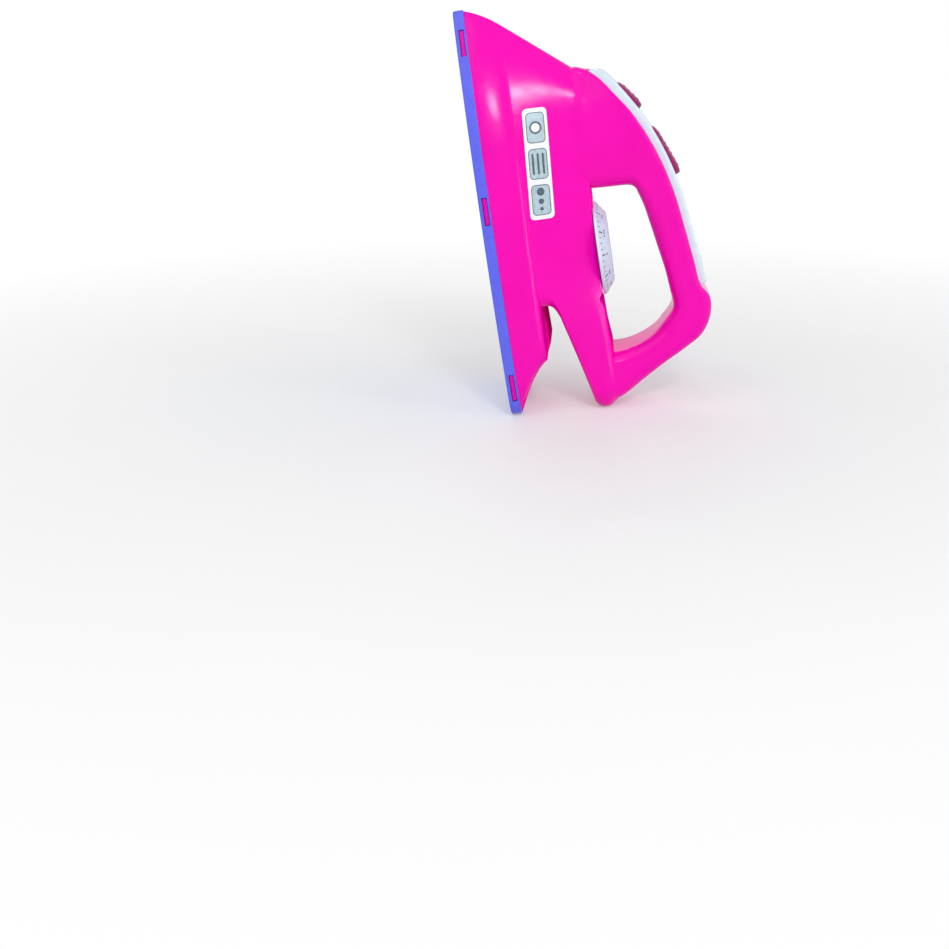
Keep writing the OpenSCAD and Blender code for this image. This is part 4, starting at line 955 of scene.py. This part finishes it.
tick_count, tick_low, dot_share = 48, 0.1, 0.68
dot_turns = [pi / 8 * k for k in range(16)]
for i in range(tick_count):
    a = 2 * pi * i / tick_count + 0.02
    half, high, dots = (0.017, 0.46, (i // 4) % 3 + 1) if i % 4 == 0 else (0.01, 0.28, 0)
    cone_mark([(a - half, tick_low), (a + half, tick_low), (a + half, high), (a - half, high)])
    for j in range(dots):
        middle = a + 0.07 * (j - (dots - 1) / 2)
        cone_mark([(middle + 0.026 * cos(b), dot_share + 0.075 * sin(b)) for b in dot_turns])
marks = face_outward(drawn("dial_marks", mark_points, mark_faces))
stood(marks, dial_ink, "dial", weighted=False)
finish_node("dial_retainer", box_plastic, 0.15)
finish_node("click_spring", bright_steel)


# Cover strip. A pale silver-blue moulding let into the top of the handle over the buttons.
# It snaps in with pegs; its long edges are rounded and catch a white line of light.
strip_plastic = Finish("strip_plastic", (0.7, 0.81, 0.89), 0.26).tint((0.69, 0.8, 0.88), (0.715, 0.82, 0.895), 11)
strip_plastic.gloss(0.23, 0.31, 2.5, 5).bump(0.004, 0.45)
strip_end = 0.16


def strip_section(x):
    """Rounded section of the strip, thinner and narrower at its two ends."""
    near_end = min(x - seat_first, seat_last - x)
    full = sqrt(clip(1 - (1 - clip(near_end / strip_end)) ** 2))
    half, high = strip_reach(x) - 0.8 * (1 - full), mix(1.6, strip_high, full)
    r = min(1.1, (high - strip_low) * 0.45)
    outline = [(-half, strip_low)]
    outline += [(-half + r * (1 - cos(a)), high - r * (1 - sin(a))) for a in quarter(6)]
    outline += [(half - r * (1 - sin(a)), high - r * (1 - cos(a))) for a in quarter(6)]
    outline += [(half, strip_low)]
    places = [(strip_point(x, out), y) for y, out in outline]
    return [(place.x, y, place.y) for place, y in places]


end_steps = [seat_first + strip_end * (i / 10) ** 2 for i in range(11)]
middle_steps = [mix(seat_first + strip_end, seat_last - strip_end, i / 56) for i in range(1, 56)]
strip_steps = end_steps + middle_steps + [seat_first + seat_last - x for x in reversed(end_steps)]
strip = loft("handle_strip_cover", [strip_section(x) for x in strip_steps])
for _, seat, _, length in buttons:
    button_slot(strip, seat, length, button_gap, -5, 6)
stood(strip, strip_plastic, crisp=40)
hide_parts("handle_strip")


# Push buttons. Two bars of tinted raspberry plastic with round ends, ribbed across for the thumb.
# Each one slides in its slot of the strip, held in by a flange below and pushed up by its spring.
tinted_plastic = Finish("tinted_plastic", (0.34, 0.011, 0.14), 0.2).set("Transmission Weight", 0.1)
tinted_plastic.set("Specular IOR Level", 0.25).tint((0.31, 0.008, 0.125), (0.38, 0.016, 0.165), 1.6, 4)
tinted_plastic.gloss(0.16, 0.32, 1.4, 5).bump(0.02, 0.5)
button_top, button_fall = 4.7, 0.9
crown = ((0, 1.5), (0.08, 1.0), (0.3, 0.66), (0.8, 0.4), (1.6, 0.2), (2.6, 0.06), (3.7, 0.0))


def button_rise(x, length):
    """Height of the crowned top along a button: full at the heel end and low at the toe end."""
    return button_top - button_fall * clip(x / length + 0.5) ** 2


def button_cap(name, length, low):
    """A bar with round ends and a crowned top that falls away to the toe."""
    rings = [[(x, y, low) for x, y in round_ended(length, button_width, steps=16)]]
    for inset, drop in crown:
        edge = round_ended(length, button_width, inset, 16)
        rings.append([(x, y, button_rise(x, length) - drop) for x, y in edge])
    return loft(name, rings)


stem_round, rib_pitch, rib_sunk = 1.8, 2.3, 0.52
rib_profile = [(0.2, -2.6), (0.6, -2.2), (0.6, 2.2), (0.2, 2.6)]
for name, seat, stem, length in buttons:
    to_seat = seat_frame(*seat).inverted() @ standing_to_flat
    heights = sorted({round((to_seat @ p.co).z, 2) for p in nodes[name].data.vertices})
    stem_end, flange_foot = heights[0], next(h for h in heights if h > heights[0] + 1)
    cap = button_cap(name + "_cap", length, flange_foot + 0.3)
    join(cap, stadium_prism("flange", length + 2 * button_flange, button_width + 2 * button_flange,
                            flange_foot, flange_foot + 1.2))
    join(cap, turned("stem", [
        (stem_round - 0.2, stem_end), (stem_round, stem_end + 0.3), (stem_round, flange_foot + 0.5),
    ], (stem, 0, 0), count=32))
    ribs = int(length / rib_pitch) - 1
    for i in range(ribs):
        x = (i - (ribs - 1) / 2) * rib_pitch
        join(cap, turned("rib", rib_profile, (x, 0, button_rise(x, length) - rib_sunk), axis="y", count=24))
    cap.data.transform(seat_frame(*seat))
    stood(cap, tinted_plastic, name)
    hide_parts(name)


# Case screws. Five short steel screws with cross recesses, sunk into bores in the right-hand shell.
# They cut their own thread in the pilot holes of the left-hand shell.
screws = joined("case_screw_set", [
    cross_screw("case_screw", (s, screw_seat, t), Matrix.Rotation(pi / 2, 4, "X")) for s, t in boss_places
])
stood(screws, bright_steel)
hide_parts("shell_screws")


# Stickers. One printed vinyl label on each side: a white card with three pale blue fields and plain signs.
# The film is pressed onto the curved side, so every printed layer follows the case.
sticker_s, sticker_t, sticker_length, sticker_tall = 91.5, 23.9, 40.0, 9.0
sticker_turn = radians(3.4)
white_film = Finish("white_film", (0.86, 0.88, 0.9), 0.24).tint((0.85, 0.87, 0.89), (0.9, 0.91, 0.93), 5)
white_film.bump(0.03, 3.5)
blue_film = Finish("blue_film", (0.41, 0.55, 0.62), 0.26).tint((0.38, 0.52, 0.59), (0.5, 0.63, 0.69), 1.1, 4)
film_ink = Finish("film_ink", (0.06, 0.09, 0.12), 0.35).tint((0.05, 0.075, 0.1), (0.1, 0.13, 0.17), 0.8)


def film_patch(width, tall, corner, at=(0, 0), columns=24, rows=8):
    """Grid of a rounded patch on the label, as rows of (along, up)."""
    grid = []
    heights = [mix(-tall / 2, -tall / 2 + corner, (i / 5) ** 2) for i in range(6)]
    if tall > 2 * corner:
        heights += [mix(-tall / 2 + corner, tall / 2 - corner, i / rows) for i in range(1, rows)]
    heights += [-h for h in reversed(heights[:6])]
    for v in heights:
        past = clip((abs(v) - (tall / 2 - corner)) / corner)
        reach = width / 2 - corner * (1 - sqrt(max(0.0, 1 - past * past)))
        grid.append([(at[0] + mix(-reach, reach, i / columns), at[1] + v) for i in range(columns + 1)])
    return grid


def on_side(along, up, lift, side):
    """Point at a lift over the side of the case, from its place on the label."""
    s = sticker_s + along * cos(sticker_turn) - up * sin(sticker_turn)
    t = sticker_t + along * sin(sticker_turn) + up * cos(sticker_turn)
    return (s, side * (upper_half(s, t) + lift), t)


def film(name, patches, low, high, finish, side):
    """Closed thin layers of printed film that follow the side of the case."""
    points, faces = [], []
    for grid in patches:
        start, wide, layer = len(points), len(grid[0]), len(grid[0]) * len(grid)
        for lift in (low, high):
            points.extend(on_side(a, u, lift, side) for row in grid for a, u in row)
        lower = [list(range(i, i + wide)) for i in range(start, start + layer, wide)]
        for row, above in zip(lower, lower[1:]):
            for a, b, c, d in zip(row, row[1:], above[1:], above):
                faces += [(a, b, c, d), (a + layer, d + layer, c + layer, b + layer)]
        rim = lower[0] + [row[-1] for row in lower[1:]] + lower[-1][-2::-1] + [row[0] for row in lower[-2:0:-1]]
        faces.extend((a, b, b + layer, a + layer) for a, b in zip(rim, rim[1:] + rim[:1]))
    made = face_outward(drawn(name, points, faces), 1e-5)
    return stood(made, finish, crisp=40, weighted=False)


card_low, card_high, print_low = 0.1, 0.36, 0.3
cell_width, cell_places = 11.0, (-13.0, 0.0, 13.0)
dot_cell, bar_cell, ring_cell = cell_places
card_patch = [film_patch(sticker_length, sticker_tall, 1.7, columns=60)]
outline_patches = [film_patch(cell_width, 6.9, 1.5, (a, 0)) for a in cell_places]
field_patches = [film_patch(cell_width - 0.6, 6.3, 1.25, (a, 0)) for a in cell_places]
sign_patches = [film_patch(r, r, r / 2, (dot_cell + a, 0), 8, 4) for a, r in ((-3.2, 1.3), (-0.5, 2.0), (3.0, 2.9))]
sign_patches += [film_patch(7.6, 0.8, 0.39, (bar_cell, u), 16, 2) for u in (-1.9, 0.0, 1.9)]
sign_patches += [film_patch(4.6, 4.6, 2.3, (ring_cell, 0), 12, 4)]
eye_patch = [film_patch(3.2, 3.2, 1.6, (ring_cell, 0), 12, 4)]
for side, name in ((1, "left_sticker"), (-1, "right_sticker")):
    card = film(name + "_card", card_patch, card_low, card_high, white_film, side)
    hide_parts(name)
    outlines = film(name + "_outlines", outline_patches, print_low, 0.385, film_ink, side)
    fields = film(name + "_fields", field_patches, print_low, 0.405, blue_film, side)
    signs = film(name + "_signs", sign_patches, print_low, 0.425, film_ink, side)
    eye = film(name + "_eye", eye_patch, print_low, 0.44, white_film, side)
